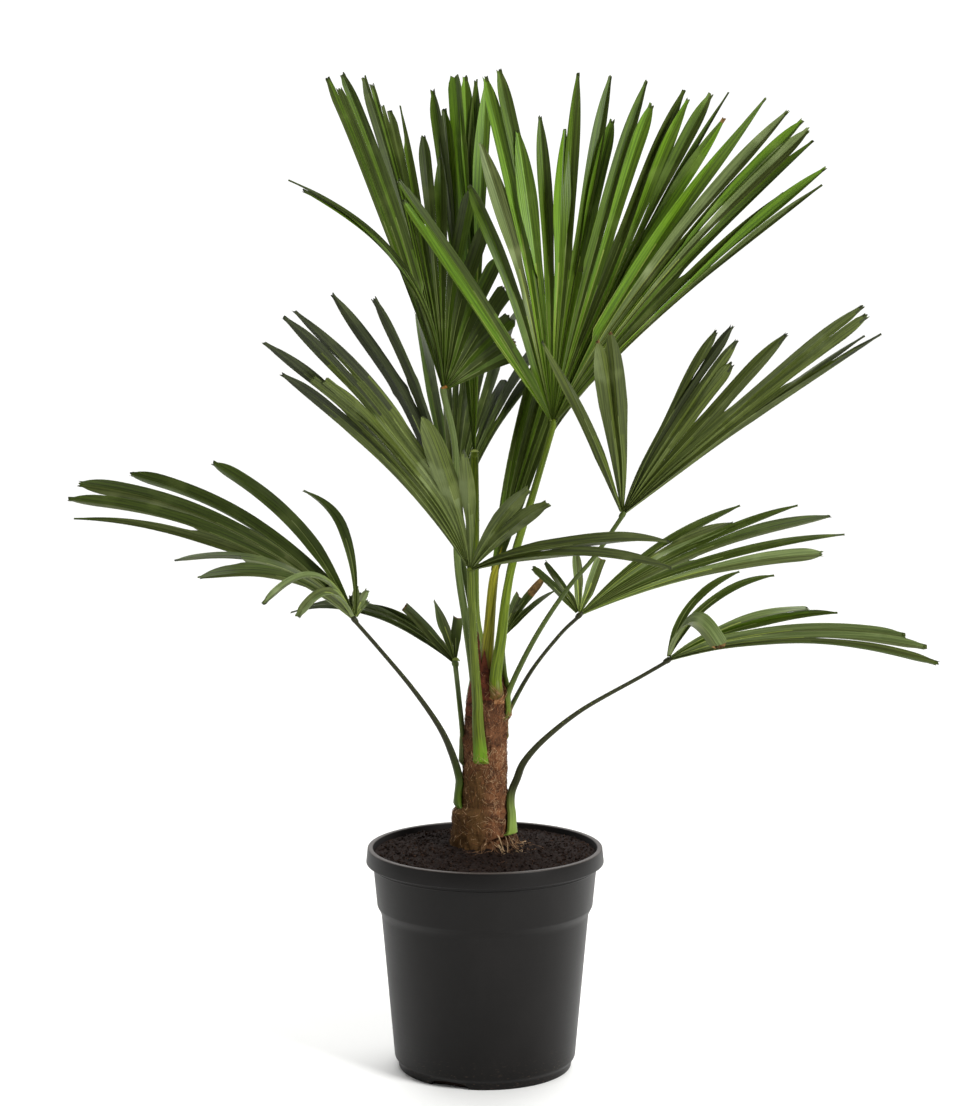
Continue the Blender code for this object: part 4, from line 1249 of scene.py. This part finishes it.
    def build_sheaths(self) -> None:
        """Dry pointed scraps of sheath stand between the stalks at the trunk's top."""
        finishes = [material(DryFinish("sheath_red", "#5c301f", "#43231a", 5 * MILLIMETRE)),
                    material(DryFinish("sheath_tan", "#8a6240", "#6b4629", 5 * MILLIMETRE))]
        builder = MeshBuilder()
        plans = ((-50.0, 0.425, 0.100, 0.015, 0), (-15.0, 0.445, 0.060, 0.012, 0), (40.0, 0.440, 0.028, 0.008, 1),
                 (100.0, 0.436, 0.040, 0.012, 0), (150.0, 0.430, 0.045, 0.012, 0), (-150.0, 0.436, 0.050, 0.010, 1),
                 (-105.0, 0.415, 0.034, 0.012, 0))
        for number, (angle, foot, length, half, finish) in enumerate(plans):
            share = np.linspace(0.0, 1.0, 26)
            across = np.linspace(-1.0, 1.0, 9)
            centre, radius = self.at(foot + length * share)
            wide = half * (1.0 - share ** 1.6) * (1.0 + 0.10 * ripple(share[:, None] * UP, 0.12, 50 + number)) + 0.0004
            turn = angle + np.degrees(np.outer(wide, across) / 0.024)
            out = np.maximum(radius, 0.013)[:, None] + 0.0018 + 0.0006 * ripple(
                np.stack((turn * 0.0005, np.zeros_like(turn), share[:, None] + 0 * turn), -1), 0.02, 60 + number)
            outer = centre[:, None] + compass(turn) * out[..., None]
            inner = outer - compass(turn) * 0.0007
            rings = np.concatenate((outer, inner[:, ::-1]), axis=1)
            builder.add_rings(rings, finish)
        place(builder.build("trunk_sheaths", finishes), "bark", "trunk")


@dataclass
class Roots:
    """Thin surface roots that leave the trunk's right side and run over the compost."""

    trunk: Trunk
    soil: Soil
    count: int = 40
    random: np.random.Generator = field(default_factory=lambda: np.random.default_rng(19))

    def build(self) -> None:
        """Each root leaves the trunk, bends down and follows the ground."""
        finishes = [material(DryFinish("surface_root", "#71543b", "#4a3526", 5 * MILLIMETRE, 0.8)),
                    material(DryFinish("young_root", "#b89c78", "#8a6c4e", 5 * MILLIMETRE, 0.7))]
        builder = MeshBuilder()
        step = np.linspace(0.0, 1.0, 16)
        for _ in range(self.count):
            angle = self.random.uniform(5.0, 105.0)
            length = self.random.uniform(0.014, 0.052)
            radius = self.random.uniform(0.0003, 0.0007)
            high = self.random.uniform(0.2700, 0.2850)
            start = self.trunk.surface(np.array([angle]), np.array([high]))[0] - compass(angle) * 0.001
            bend = angle + np.cumsum(self.random.normal(0.0, 17.0, len(step)))
            line = start + np.cumsum(compass(bend) * (length / len(step)), axis=0)
            ground = self.soil.height(line) + 0.4 * radius
            line[:, 2] = ground + (start[2] - ground[0]) * (1.0 - smooth(step * length / 0.016))
            line[-1, 2] -= 0.001
            builder.add_tube(line, radius * (1.0 - 0.6 * step), 6, int(self.random.random() < 0.22))
        place(builder.build("surface_roots", finishes), "bark", "trunk")


# Fronds

@dataclass
class Stalk:
    """A leaf stalk: rounded beneath, channelled above, with small teeth along both margins.

    The stalk of the folded young leaf runs on into its fan by `lead`.
    """

    plan: FrondPlan
    trunk: Trunk
    steps: int = 80
    sides: int = 32
    sunk: float = 0.35
    ridges: int = 11
    lead: tuple[float, float, float] = (0.0095, 0.0093, 0.0324)

    def spine(self) -> tuple[Array, Array]:
        """Middle line and radius, by the construction's own rule."""
        points = [np.array(point) for point in self.plan.route]
        foot_radius, top_radius = self.plan.radius
        seats = []
        for angle, height in self.plan.seats:
            centre, radius = self.trunk.at(height)
            seats.append(centre + compass(angle) * (radius + foot_radius * (1.0 - self.sunk)))
        points = seats + points
        if not seats:
            points.append(points[-1] + self.lead)
        line = curve_through(points, self.steps)
        share = np.linspace(0.0, 1.0, self.steps + 1)
        if foot_radius > 1.6 * top_radius:
            size = top_radius + (foot_radius - top_radius) * (1.0 - share) ** 2.2
        else:
            size = foot_radius + (top_radius - foot_radius) * np.minimum(1.0, 1.6 * share)
        if seats:
            centre, radius = self.trunk.at(line[:, 2])
            outward = line - centre
            outward[:, 2] = 0.0
            room = radius + size * (1.0 - self.sunk) - np.linalg.norm(outward, axis=1)
            room[line[:, 2] > self.trunk.rings[-1][0]] = 0.0
            line = line + unit(outward) * np.maximum(room, 0.0)[:, None]
        return line, size

    def build(self) -> None:
        """Make the stalk with its foot, teeth and hastula."""
        line, size = self.spine()
        along = unit(np.gradient(line, axis=0))
        along[0] = UP
        inward = self.trunk.at(line[:, 2])[0] - line
        inward[:, 2] = 0.0
        upper = 0.7 * unit(inward) + 0.8 * UP + np.array((0.0, 0.0, 1e-3))
        upper = unit(upper - along * (upper * along).sum(axis=1, keepdims=True))
        side = np.cross(along, upper)
        lengths = np.concatenate(([0.0], np.cumsum(np.linalg.norm(np.diff(line, axis=0), axis=1))))
        turn = np.linspace(0.0, math.tau, self.sides, endpoint=False)
        wide = 1.06 * np.cos(turn)
        high = np.sin(turn)
        high = np.where(high > 0, 0.62 * high - 0.22 * np.exp(-(wide / 0.45) ** 2) * high, high)
        wide, high = (part * (1.0 + 0.035 * np.cos(self.ridges * turn)) for part in (wide, high))
        flare = 1.0 + self.plan.flare * np.exp(-lengths / 0.022)
        if not self.plan.seats:
            size = size * (1.0 - 0.8 * smooth((lengths / lengths[-1] - 0.74) / 0.26))
        shape = (wide[None, :, None] * side[:, None] * flare[:, None, None]
                 + high[None, :, None] * upper[:, None]) * size[:, None, None]
        rings = line[:, None] + shape
        uv = np.stack((np.broadcast_to(turn * 0.005, rings.shape[:2]),
                       np.broadcast_to(lengths[:, None], rings.shape[:2])), axis=-1)
        if self.plan.seats:
            rings, uv = self.with_tongue(rings, uv, upper[0], side[0], size[0])
        builder = MeshBuilder()
        builder.add_rings(rings, 0, uv)
        self.add_teeth(builder, line, side, upper, size, lengths)
        if self.plan.seats:
            self.add_knuckle(builder, line[-1], along[-1], upper[-1], side[-1])
        finishes = [material(self.plan.rind.value), material(RIB), material(HASTULA)]
        place(builder.build(f"{self.plan.name}_petiole", finishes), "stalk", f"{self.plan.name}_stalk")

    def with_tongue(self, rings: Array, uv: Array, inward: Array, side: Array,
                    size: float) -> tuple[Array, Array]:
        """Spread the foot and sink it into the trunk that it grows from.

        Args:
            rings: The stalk's rings, from its foot up.
            uv: Their surface coordinates.
            inward: Level direction to the trunk's middle.
            side: Level direction along the trunk's girth.
            size: The foot's radius.

        Returns:
            Both arrays with the foot's rings put before them.
        """
        middle = rings[0].mean(axis=0)
        shape = rings[0] - middle
        across = (shape @ side)[:, None] * side
        extra, extra_uv = [], []
        for share in (1.0, 0.85, 0.68, 0.5, 0.32, 0.15):
            centre = middle - UP * (self.plan.tongue * size * share) + inward * (2.0 * size * share ** 1.6)
            wider = across * (1.0 + 0.5 * self.plan.flare * share)
            extra.append(centre + wider + (shape - across) * (1.0 - 0.35 * share))
            extra_uv.append(uv[0] - np.array((0.0, 0.012 * share)))
        return np.concatenate((np.array(extra), rings)), np.concatenate((np.array(extra_uv), uv))

    def add_teeth(self, builder: MeshBuilder, line: Array, side: Array, upper: Array, size: Array,
                  lengths: Array) -> None:
        """Blunt little teeth along both margins, six to ten millimetres apart."""
        random = np.random.default_rng(sum(map(ord, self.plan.name)))
        for sign in (-1.0, 1.0):
            at = 0.020
            while at < 0.85 * lengths[-1]:
                spot = np.array([np.interp(at, lengths, line[:, axis]) for axis in range(3)])
                k = int(np.searchsorted(lengths, at))
                radius, way = size[k], side[k] * sign
                base = spot + way * radius * 0.98
                along = unit(np.cross(side[k], upper[k]))
                big = random.uniform(0.0004, 0.0009)
                corners = np.array((base + along * big, base + upper[k] * big * 0.7, base - along * big,
                                    base - upper[k] * big * 0.7, base + way * big * 1.5 + along * big * 0.6))
                faces = np.array(((0, 1, 4), (1, 2, 4), (2, 3, 4), (3, 0, 4)))
                builder.add(corners, faces, 1)
                builder.faces.append([builder.count - 5 + i for i in range(4)])
                builder.finishes.append(1)
                at += random.uniform(0.006, 0.010)

    def add_knuckle(self, builder: MeshBuilder, hub: Array, along: Array, upper: Array, side: Array) -> None:
        """The swollen end under the fan, and the small crest that stands on its upper side."""
        turn = np.linspace(0.0, math.tau, 16, endpoint=False)[None, :, None]
        level = np.linspace(-0.97, 0.97, 11)[:, None, None]
        round_off = np.sqrt(1.0 - level ** 2)
        wide = max(0.0046, 1.05 * self.plan.radius[1])
        rings = hub + along * level * 0.0062 + round_off * (np.cos(turn) * side * wide
                                                           + np.sin(turn) * upper * 0.75 * wide)
        builder.add_rings(rings, 0, np.full((11, 16, 2), 0.2))
        spread = np.linspace(-1.0, 1.0, 9)
        crest = hub + along * 0.003 + upper * (0.7 * wide) + np.outer(spread * 1.1 * wide, side)
        tops = crest + np.outer(0.0032 * (1.0 - spread ** 2) + 0.0003, 0.7 * upper + 0.7 * along)
        back = -along * 0.0008
        dry = 2 if self.plan.dry_crest else 1
        builder.add_rings(np.stack((crest, tops, tops + back, crest + back), axis=1), dry)


@dataclass
class Rib:
    """The middle line of one leaflet, from the hub to its tip."""

    hub: Array
    blade: Blade
    angle: float
    start_angle: float
    reach: float
    cut: Cut
    sway: float
    roll: float
    twist: float
    tone: int
    width: float

    def half(self, distance: Array) -> Array:
        """Half the leaflet's own width, seen flat, at distances from the hub."""
        share = np.clip(distance / self.reach, 0.0, 1.0)
        past = np.clip((share - self.cut.widest) / (1.0 - self.cut.widest), 0.0, 1.0)
        taper = (1.0 - past ** 2.4) ** 0.75
        waist = self.cut.waist + (1.0 - self.cut.waist) * smooth(share / 0.65)
        if self.cut.crease:
            waist = waist * (1.0 + 0.22 * np.exp(-((share - self.cut.crease) / 0.022) ** 2))
        return np.maximum(0.5 * self.width * taper * waist, self.cut.tip)

    def frame(self, distance: Array) -> tuple[Array, Array, Array]:
        """Middle line, sideways vector and upper-side vector at distances from the hub."""
        blade = self.blade
        share = distance / self.reach
        face, tilt = math.radians(blade.face), math.radians(blade.tilt)
        up = np.array((-math.sin(face) * math.sin(tilt), math.cos(face) * math.sin(tilt), math.cos(tilt)))
        right = np.array((math.cos(face), math.sin(face), 0.0))
        front = np.cross(right, up)
        turn = np.radians(self.start_angle + (self.angle - self.start_angle) * smooth(share / 0.5))[:, None]
        chord = up * np.cos(turn) + right * np.sin(turn)
        beside = right * np.cos(turn) - up * np.sin(turn)
        lift = unit(UP - chord * chord[:, 2:])
        rise, peak = share / blade.peak, (share - blade.peak) / (1.0 - blade.peak)
        bow = np.where(share < blade.peak, rise * (2.0 - rise), 1.0 - peak ** 2)
        point = self.hub + chord * distance[:, None] + lift * (bow * blade.arch * self.reach)[:, None]
        point += beside * (self.sway * self.reach * np.sin(math.pi * np.clip(share, 0, 1)) ** 2)[:, None]
        if self.cut.crease:
            bent = np.minimum(share / self.cut.crease, (1.0 - share) / (1.0 - self.cut.crease))
            point += beside * (0.010 * self.reach * bent)[:, None]
        along = unit(np.gradient(point, distance, axis=0))
        beside = unit(beside - along * (beside * along).sum(axis=1, keepdims=True))
        upper = np.cross(beside, along)
        upper *= np.sign((upper[0] * front).sum()) * (1.0 if blade.tilt >= 0 else -1.0)
        point += front * (self.cut.layer * smooth((share - 0.3) / 0.3))[:, None]
        angle = (self.roll * smooth((share - 0.25) / 0.35) + self.twist * smooth((share - 0.5) / 0.5))[:, None]
        return (point, beside * np.cos(angle) + upper * np.sin(angle),
                upper * np.cos(angle) - beside * np.sin(angle))


@dataclass
class Fan:
    """A pleated fan whose leaflets are joined near the hub and free towards their tips."""

    plan: FrondPlan
    rows: int = 40
    thickness: float = 0.00045
    root: float = 0.0045
    rib_half: float = 0.0007
    rib_share: float = 0.54
    # Up to this share of the reach the folds' crests take the pale rib colour, partly a painted highlight along the
    # ridges.
    crest_rib_and_highlight_share: float = 0.38
    # Beyond this share of its reach, one half of each leaflet is painted shade.
    painted_shade_start: float = 0.34

    def ribs(self) -> list[list[Rib]]:
        """The fan's leaflets, in groups that are joined to each other near the hub."""
        random = np.random.default_rng(sum(map(ord, self.plan.name)) + 5)
        hub = np.array(self.plan.route[-1])
        groups: list[list[Rib]] = [[]]
        for blade in self.plan.blades:
            order = sorted(blade.leaflets, key=lambda leaflet: leaflet.angle)
            low, high = blade.spread
            for k, leaflet in enumerate(order):
                cut = leaflet.form.value
                even = low + (high - low) * (k + 0.5) / len(order)
                tone = int(random.choice(5, p=self.plan.tone.value)) if leaflet.tone is None else leaflet.tone
                groups[-1].append(Rib(
                    hub, blade, leaflet.angle, 0.35 * leaflet.angle + 0.65 * even, leaflet.reach / 100.0, cut,
                    random.normal(0.0, 0.008), math.radians(random.normal(0.0, 11.0)),
                    math.radians(random.normal(0.0, 20.0)), tone, blade.width * cut.breadth))
            if not blade.joined:
                groups.append([])
        return [group for group in groups if group]

    def fold(self, rib: Rib, distance: Array) -> Array:
        """Slope of each half of a leaflet at distances from the hub: steep at the hub, flatter outward."""
        opened = smooth(distance / (0.5 * rib.reach))
        late = smooth((distance / rib.reach - 0.6) / 0.4)
        degrees = rib.blade.pleat + (rib.cut.fold - rib.blade.pleat) * opened - 8.0 * late
        return np.tan(np.radians(degrees))

    def outer_edge(self, rib: Rib, neighbour: Rib | None, sign: float, distance: Array,
                   frame_here: tuple[Array, Array, Array], narrow: float) -> Array:
        """One edge of a leaflet: shared with its neighbour up to their split, and free beyond.

        Args:
            rib: The leaflet.
            neighbour: The leaflet on that side, if any.
            sign: -1 for the left edge and 1 for the right.
            distance: Distances from the hub.
            frame_here: The leaflet's own frame there.
            narrow: Half the angle, in radians, that the leaflet has to itself near the hub.

        Returns:
            Places along the edge.
        """
        middle, side, upper = frame_here
        half = np.minimum(rib.half(distance), rib.blade.grip + narrow * distance)
        steep = self.fold(rib, distance)
        if neighbour is None:
            return middle + sign * side * half[:, None] + upper * (0.5 * half * steep)[:, None]
        held = np.minimum(distance, 0.999 * neighbour.reach)
        held = held + np.arange(len(held)) * 1e-7
        other, _, other_upper = neighbour.frame(held)
        space = 0.5 * np.linalg.norm(other - middle, axis=1)
        normal = unit(upper + other_upper)
        shared = 0.5 * (middle + other) + normal * (0.5 * space * steep)[:, None]
        own = 0.5 * (rib.half(distance) + neighbour.half(distance))
        last = min(rib.blade.fused, neighbour.blade.fused) * min(rib.reach, neighbour.reach)
        apart = np.nonzero((space > own) | (distance > last))[0]
        first = apart[0] if len(apart) else len(distance) - 1
        grown = smooth((distance - distance[first]) / (0.3 * rib.reach))
        half = rib.half(distance)
        half = half * grown + np.minimum(0.95 * space[first], half) * (1.0 - grown)
        own_free = middle + sign * side * half[:, None] + upper * (0.5 * half * steep)[:, None]
        share = smooth((distance - distance[first]) / 0.012)[:, None]
        return shared * (1.0 - share) + own_free * share

    def add_leaflet(self, builder: MeshBuilder, rib: Rib, left: Rib | None, right: Rib | None,
                    random: np.random.Generator) -> None:
        """Add one folded leaflet as a thin closed skin."""
        share = np.linspace(0.0, 1.0, self.rows)
        distance = self.root + (rib.reach - self.root) * (1.0 - (1.0 - share) ** 1.15)
        here = rib.frame(distance)
        middle, side, upper = here
        gaps = [abs(rib.start_angle - other.start_angle) for other in (left, right) if other]
        low, high = rib.blade.spread
        narrow = math.radians(0.5 * min(gaps) if gaps else 0.5 * abs(high - low))
        edges = [self.outer_edge(rib, other, sign, distance, here, narrow)
                 for other, sign in ((left, -1.0), (right, 1.0))]
        depth = 0.5 * np.minimum(rib.half(distance), 0.0012 + narrow * distance) * self.fold(rib, distance)
        valley = middle - upper * depth[:, None]
        columns, across = [], []
        for edge, order in ((edges[0], (0, 1, 2, 3, 4)), (edges[1], (4, 3, 2, 1, 0))):
            wide = np.linalg.norm(edge - valley, axis=1)
            near = np.minimum(self.rib_half / np.maximum(wide, 1e-6), 0.2)
            for step in order:
                at = (np.ones_like(near), 1.0 - 0.8 * near, 0.66 + 0 * near, 0.33 + 0 * near, near)[step]
                columns.append(valley + (edge - valley) * at[:, None])
                across.append(at * wide * (-1.0 if edge is edges[0] else 1.0))
            if edge is edges[0]:
                columns.append(valley)
                across.append(np.zeros_like(wide))
        top = np.stack(columns, axis=1)
        if rib.cut.tip > 0.002:
            along = unit(middle[-1] - middle[-2])
            top[-1] += along * (random.uniform(-0.0035, 0.0015, len(columns)))[:, None]
        keel = 0.0009 * (1.0 - share) + 0.0002
        down = np.full((self.rows, len(columns)), self.thickness)
        down[:, 5] += keel
        bottom = top - upper[:, None] * down[..., None]
        rings = np.concatenate((top, bottom[:, ::-1]), axis=1)
        flat = np.stack((np.stack(across, axis=1), np.broadcast_to(distance[:, None], top.shape[:2])), axis=-1)
        uv = np.concatenate((flat, flat[:, ::-1]), axis=1)
        builder.add_rings(rings, self.slots(rib, distance), uv)

    def slots(self, rib: Rib, distance: Array) -> Array:
        """Material slots of a leaflet's faces: lit half, half in painted shade, under side, rib and end.

        One half of each leaflet, most often the right, is painted shade: beyond a share of its reach it
        takes a darker tone, as if its fold turned it from the light.  The dark end is painted shade as well;
        it reaches further down the shaded half, and unevenly from vein to vein.
        """
        start = distance[:-1, None]
        column = np.arange(22)[None, :]
        right = (column > 4) & (column < 16)
        # One half of each leaflet, most often the right, is painted shade in a darker tone.
        painted_shade_half = ~right if rib.sway < -0.008 else right
        painted_shade_slot = np.where(column < 10, PAINTED_SHADE_TONES[rib.tone], UNDER_PAINTED_SHADE_TONES[rib.tone])
        uneven = 1.0 + 0.3 * np.sin(5.0 * column)
        slots = np.where(painted_shade_half & (start > self.painted_shade_start * rib.reach * uneven), painted_shade_slot, rib.tone)
        # The end is painted shade too, twice as long on the shaded half.
        dark = rib.cut.dark * np.where(painted_shade_half, 1.0, 0.5) * uneven
        slots = np.where(start > rib.reach - 1.4 * dark, painted_shade_slot, slots)
        slots = np.where(start > rib.reach - dark, DARK, slots)
        slots[:, 10:] += UNDER_SLOT
        near = distance[:-1] < self.rib_share * rib.reach
        upper_rib = RIB_SLOT if rib.tone in (0, 3) else SOFT_RIB_SLOT
        slots[np.ix_(near, (4, 5))] = upper_rib
        slots[np.ix_(near, (15, 16))] = SOFT_RIB_SLOT
        # Pale crests near the hub: partly rib colour, partly a painted highlight along the ridges.
        near = distance[:-1] < self.crest_rib_and_highlight_share * rib.reach
        slots[np.ix_(near, (0, 9))] = upper_rib
        slots[distance[:-1] > rib.reach - rib.cut.dry] = DRY_SLOT
        return slots.ravel()

    def build(self) -> None:
        """Make the whole fan as one piece."""
        random = np.random.default_rng(len(self.plan.name))
        builder = MeshBuilder()
        for group in self.ribs():
            for k, rib in enumerate(group):
                left = group[k - 1] if k else None
                right = group[k + 1] if k + 1 < len(group) else None
                self.add_leaflet(builder, rib, left, right, random)
        made = builder.build(f"{self.plan.name}_leaflets", [material(finish) for finish in LEAF_SLOTS], sharp=28.0)
        place(made, "leaf", *dict.fromkeys(f"{self.plan.name}_{blade.name}" for blade in self.plan.blades))


# Studio

@dataclass
class Studio:
    """A pale floor, soft light and the camera."""

    image: tuple[int, int] = (970, 1106)
    focal_pixels: float = 2575.0
    sensor: float = 36.0
    camera_place: tuple[float, float, float] = (0.0, -3.015, 0.963)
    camera_down: float = 6.51
    floor_half: float = 60.0
    sun_power: float = 2.05

    def build(self) -> None:
        """Set everything up."""
        self.build_camera()
        self.build_floor()
        self.build_light("key_light", (2.3, -2.0, 2.4), 1.2, 150.0)
        self.build_light("fill_light", (-2.6, -1.6, 1.4), 1.6, 9.0)
        self.build_sun()
        self.build_world()
        bpy.context.scene.view_settings.view_transform = "Standard"

    def build_world(self) -> None:
        """A white backdrop all round, which lights the plant most from behind and least from in front."""
        world = bpy.data.worlds.new("studio")
        world.use_nodes = True
        tree = world.node_tree
        way = add_node(tree, "ShaderNodeTexCoord")
        split = add_node(tree, "ShaderNodeSeparateXYZ", links={0: way.outputs["Generated"]})
        glow = add_node(tree, "ShaderNodeMapRange", {"From Min": -0.1, "From Max": 0.5, "To Min": 0.2, "To Max": 1.1},
                        {"Value": split.outputs["Y"]})
        seen = add_node(tree, "ShaderNodeLightPath").outputs["Is Camera Ray"]
        both = add_node(tree, "ShaderNodeMath", {"operation": "MAXIMUM"}, {0: glow.outputs["Result"], 1: seen})
        tree.links.new(both.outputs[0], tree.nodes["Background"].inputs["Strength"])
        tree.nodes["Background"].inputs["Color"].default_value = (1.0, 1.0, 1.0, 1.0)
        bpy.context.scene.world = world

    def build_sun(self) -> None:
        """Soft light from above and behind keeps the whole floor pale."""
        light = bpy.data.lights.new("top_light", "SUN")
        light.energy = self.sun_power
        light.angle = math.radians(60.0)
        made = bpy.data.objects.new("top_light", light)
        made.rotation_euler = (math.radians(-32.0), 0.0, 0.0)
        bpy.context.scene.collection.objects.link(made)

    def build_camera(self) -> None:
        """The photograph's own lens and place, worked out from the pot's ellipses."""
        lens = bpy.data.cameras.new("camera")
        lens.sensor_width = self.sensor
        lens.lens = self.sensor * self.focal_pixels / max(self.image)
        camera = bpy.data.objects.new("camera", lens)
        camera.location = self.camera_place
        camera.rotation_euler = (math.radians(90.0 - self.camera_down), 0.0, 0.0)
        bpy.context.scene.collection.objects.link(camera)
        bpy.context.scene.camera = camera

    def build_floor(self) -> None:
        """A wide sheet of pale paper."""
        half = self.floor_half
        corners = np.array(((-half, -half, 0.0), (half, -half, 0.0), (half, half, 0.0), (-half, half, 0.0)))
        builder = MeshBuilder()
        builder.add(corners, np.array(((0, 1, 2, 3),)))
        floor = builder.build("studio_floor", [material(PaperFinish())])

    def build_light(self, name: str, place_: tuple[float, float, float], size: float, power: float) -> None:
        """Add one soft square light that looks at the middle of the plant."""
        light = bpy.data.lights.new(name, "AREA")
        light.size = size
        light.energy = power
        made = bpy.data.objects.new(name, light)
        made.location = place_
        away = made.location - made.location.__class__((0.0, 0.0, 0.6))
        made.rotation_euler = away.to_track_quat("Z", "Y").to_euler()
        bpy.context.scene.collection.objects.link(made)


def main() -> None:
    """Build the plant from the pot upward, and then the studio."""
    logging.basicConfig(level=logging.INFO, format="%(name)s: %(message)s")
    pot = Pot()
    pot.build()
    soil = Soil(pot)
    soil.build()
    trunk = Trunk()
    trunk.build()
    Roots(trunk, soil).build()
    for plan in FRONDS:
        Stalk(plan, trunk).build()
        Fan(plan).build()
    Studio().build()


if __name__ == "__main__":
    main()
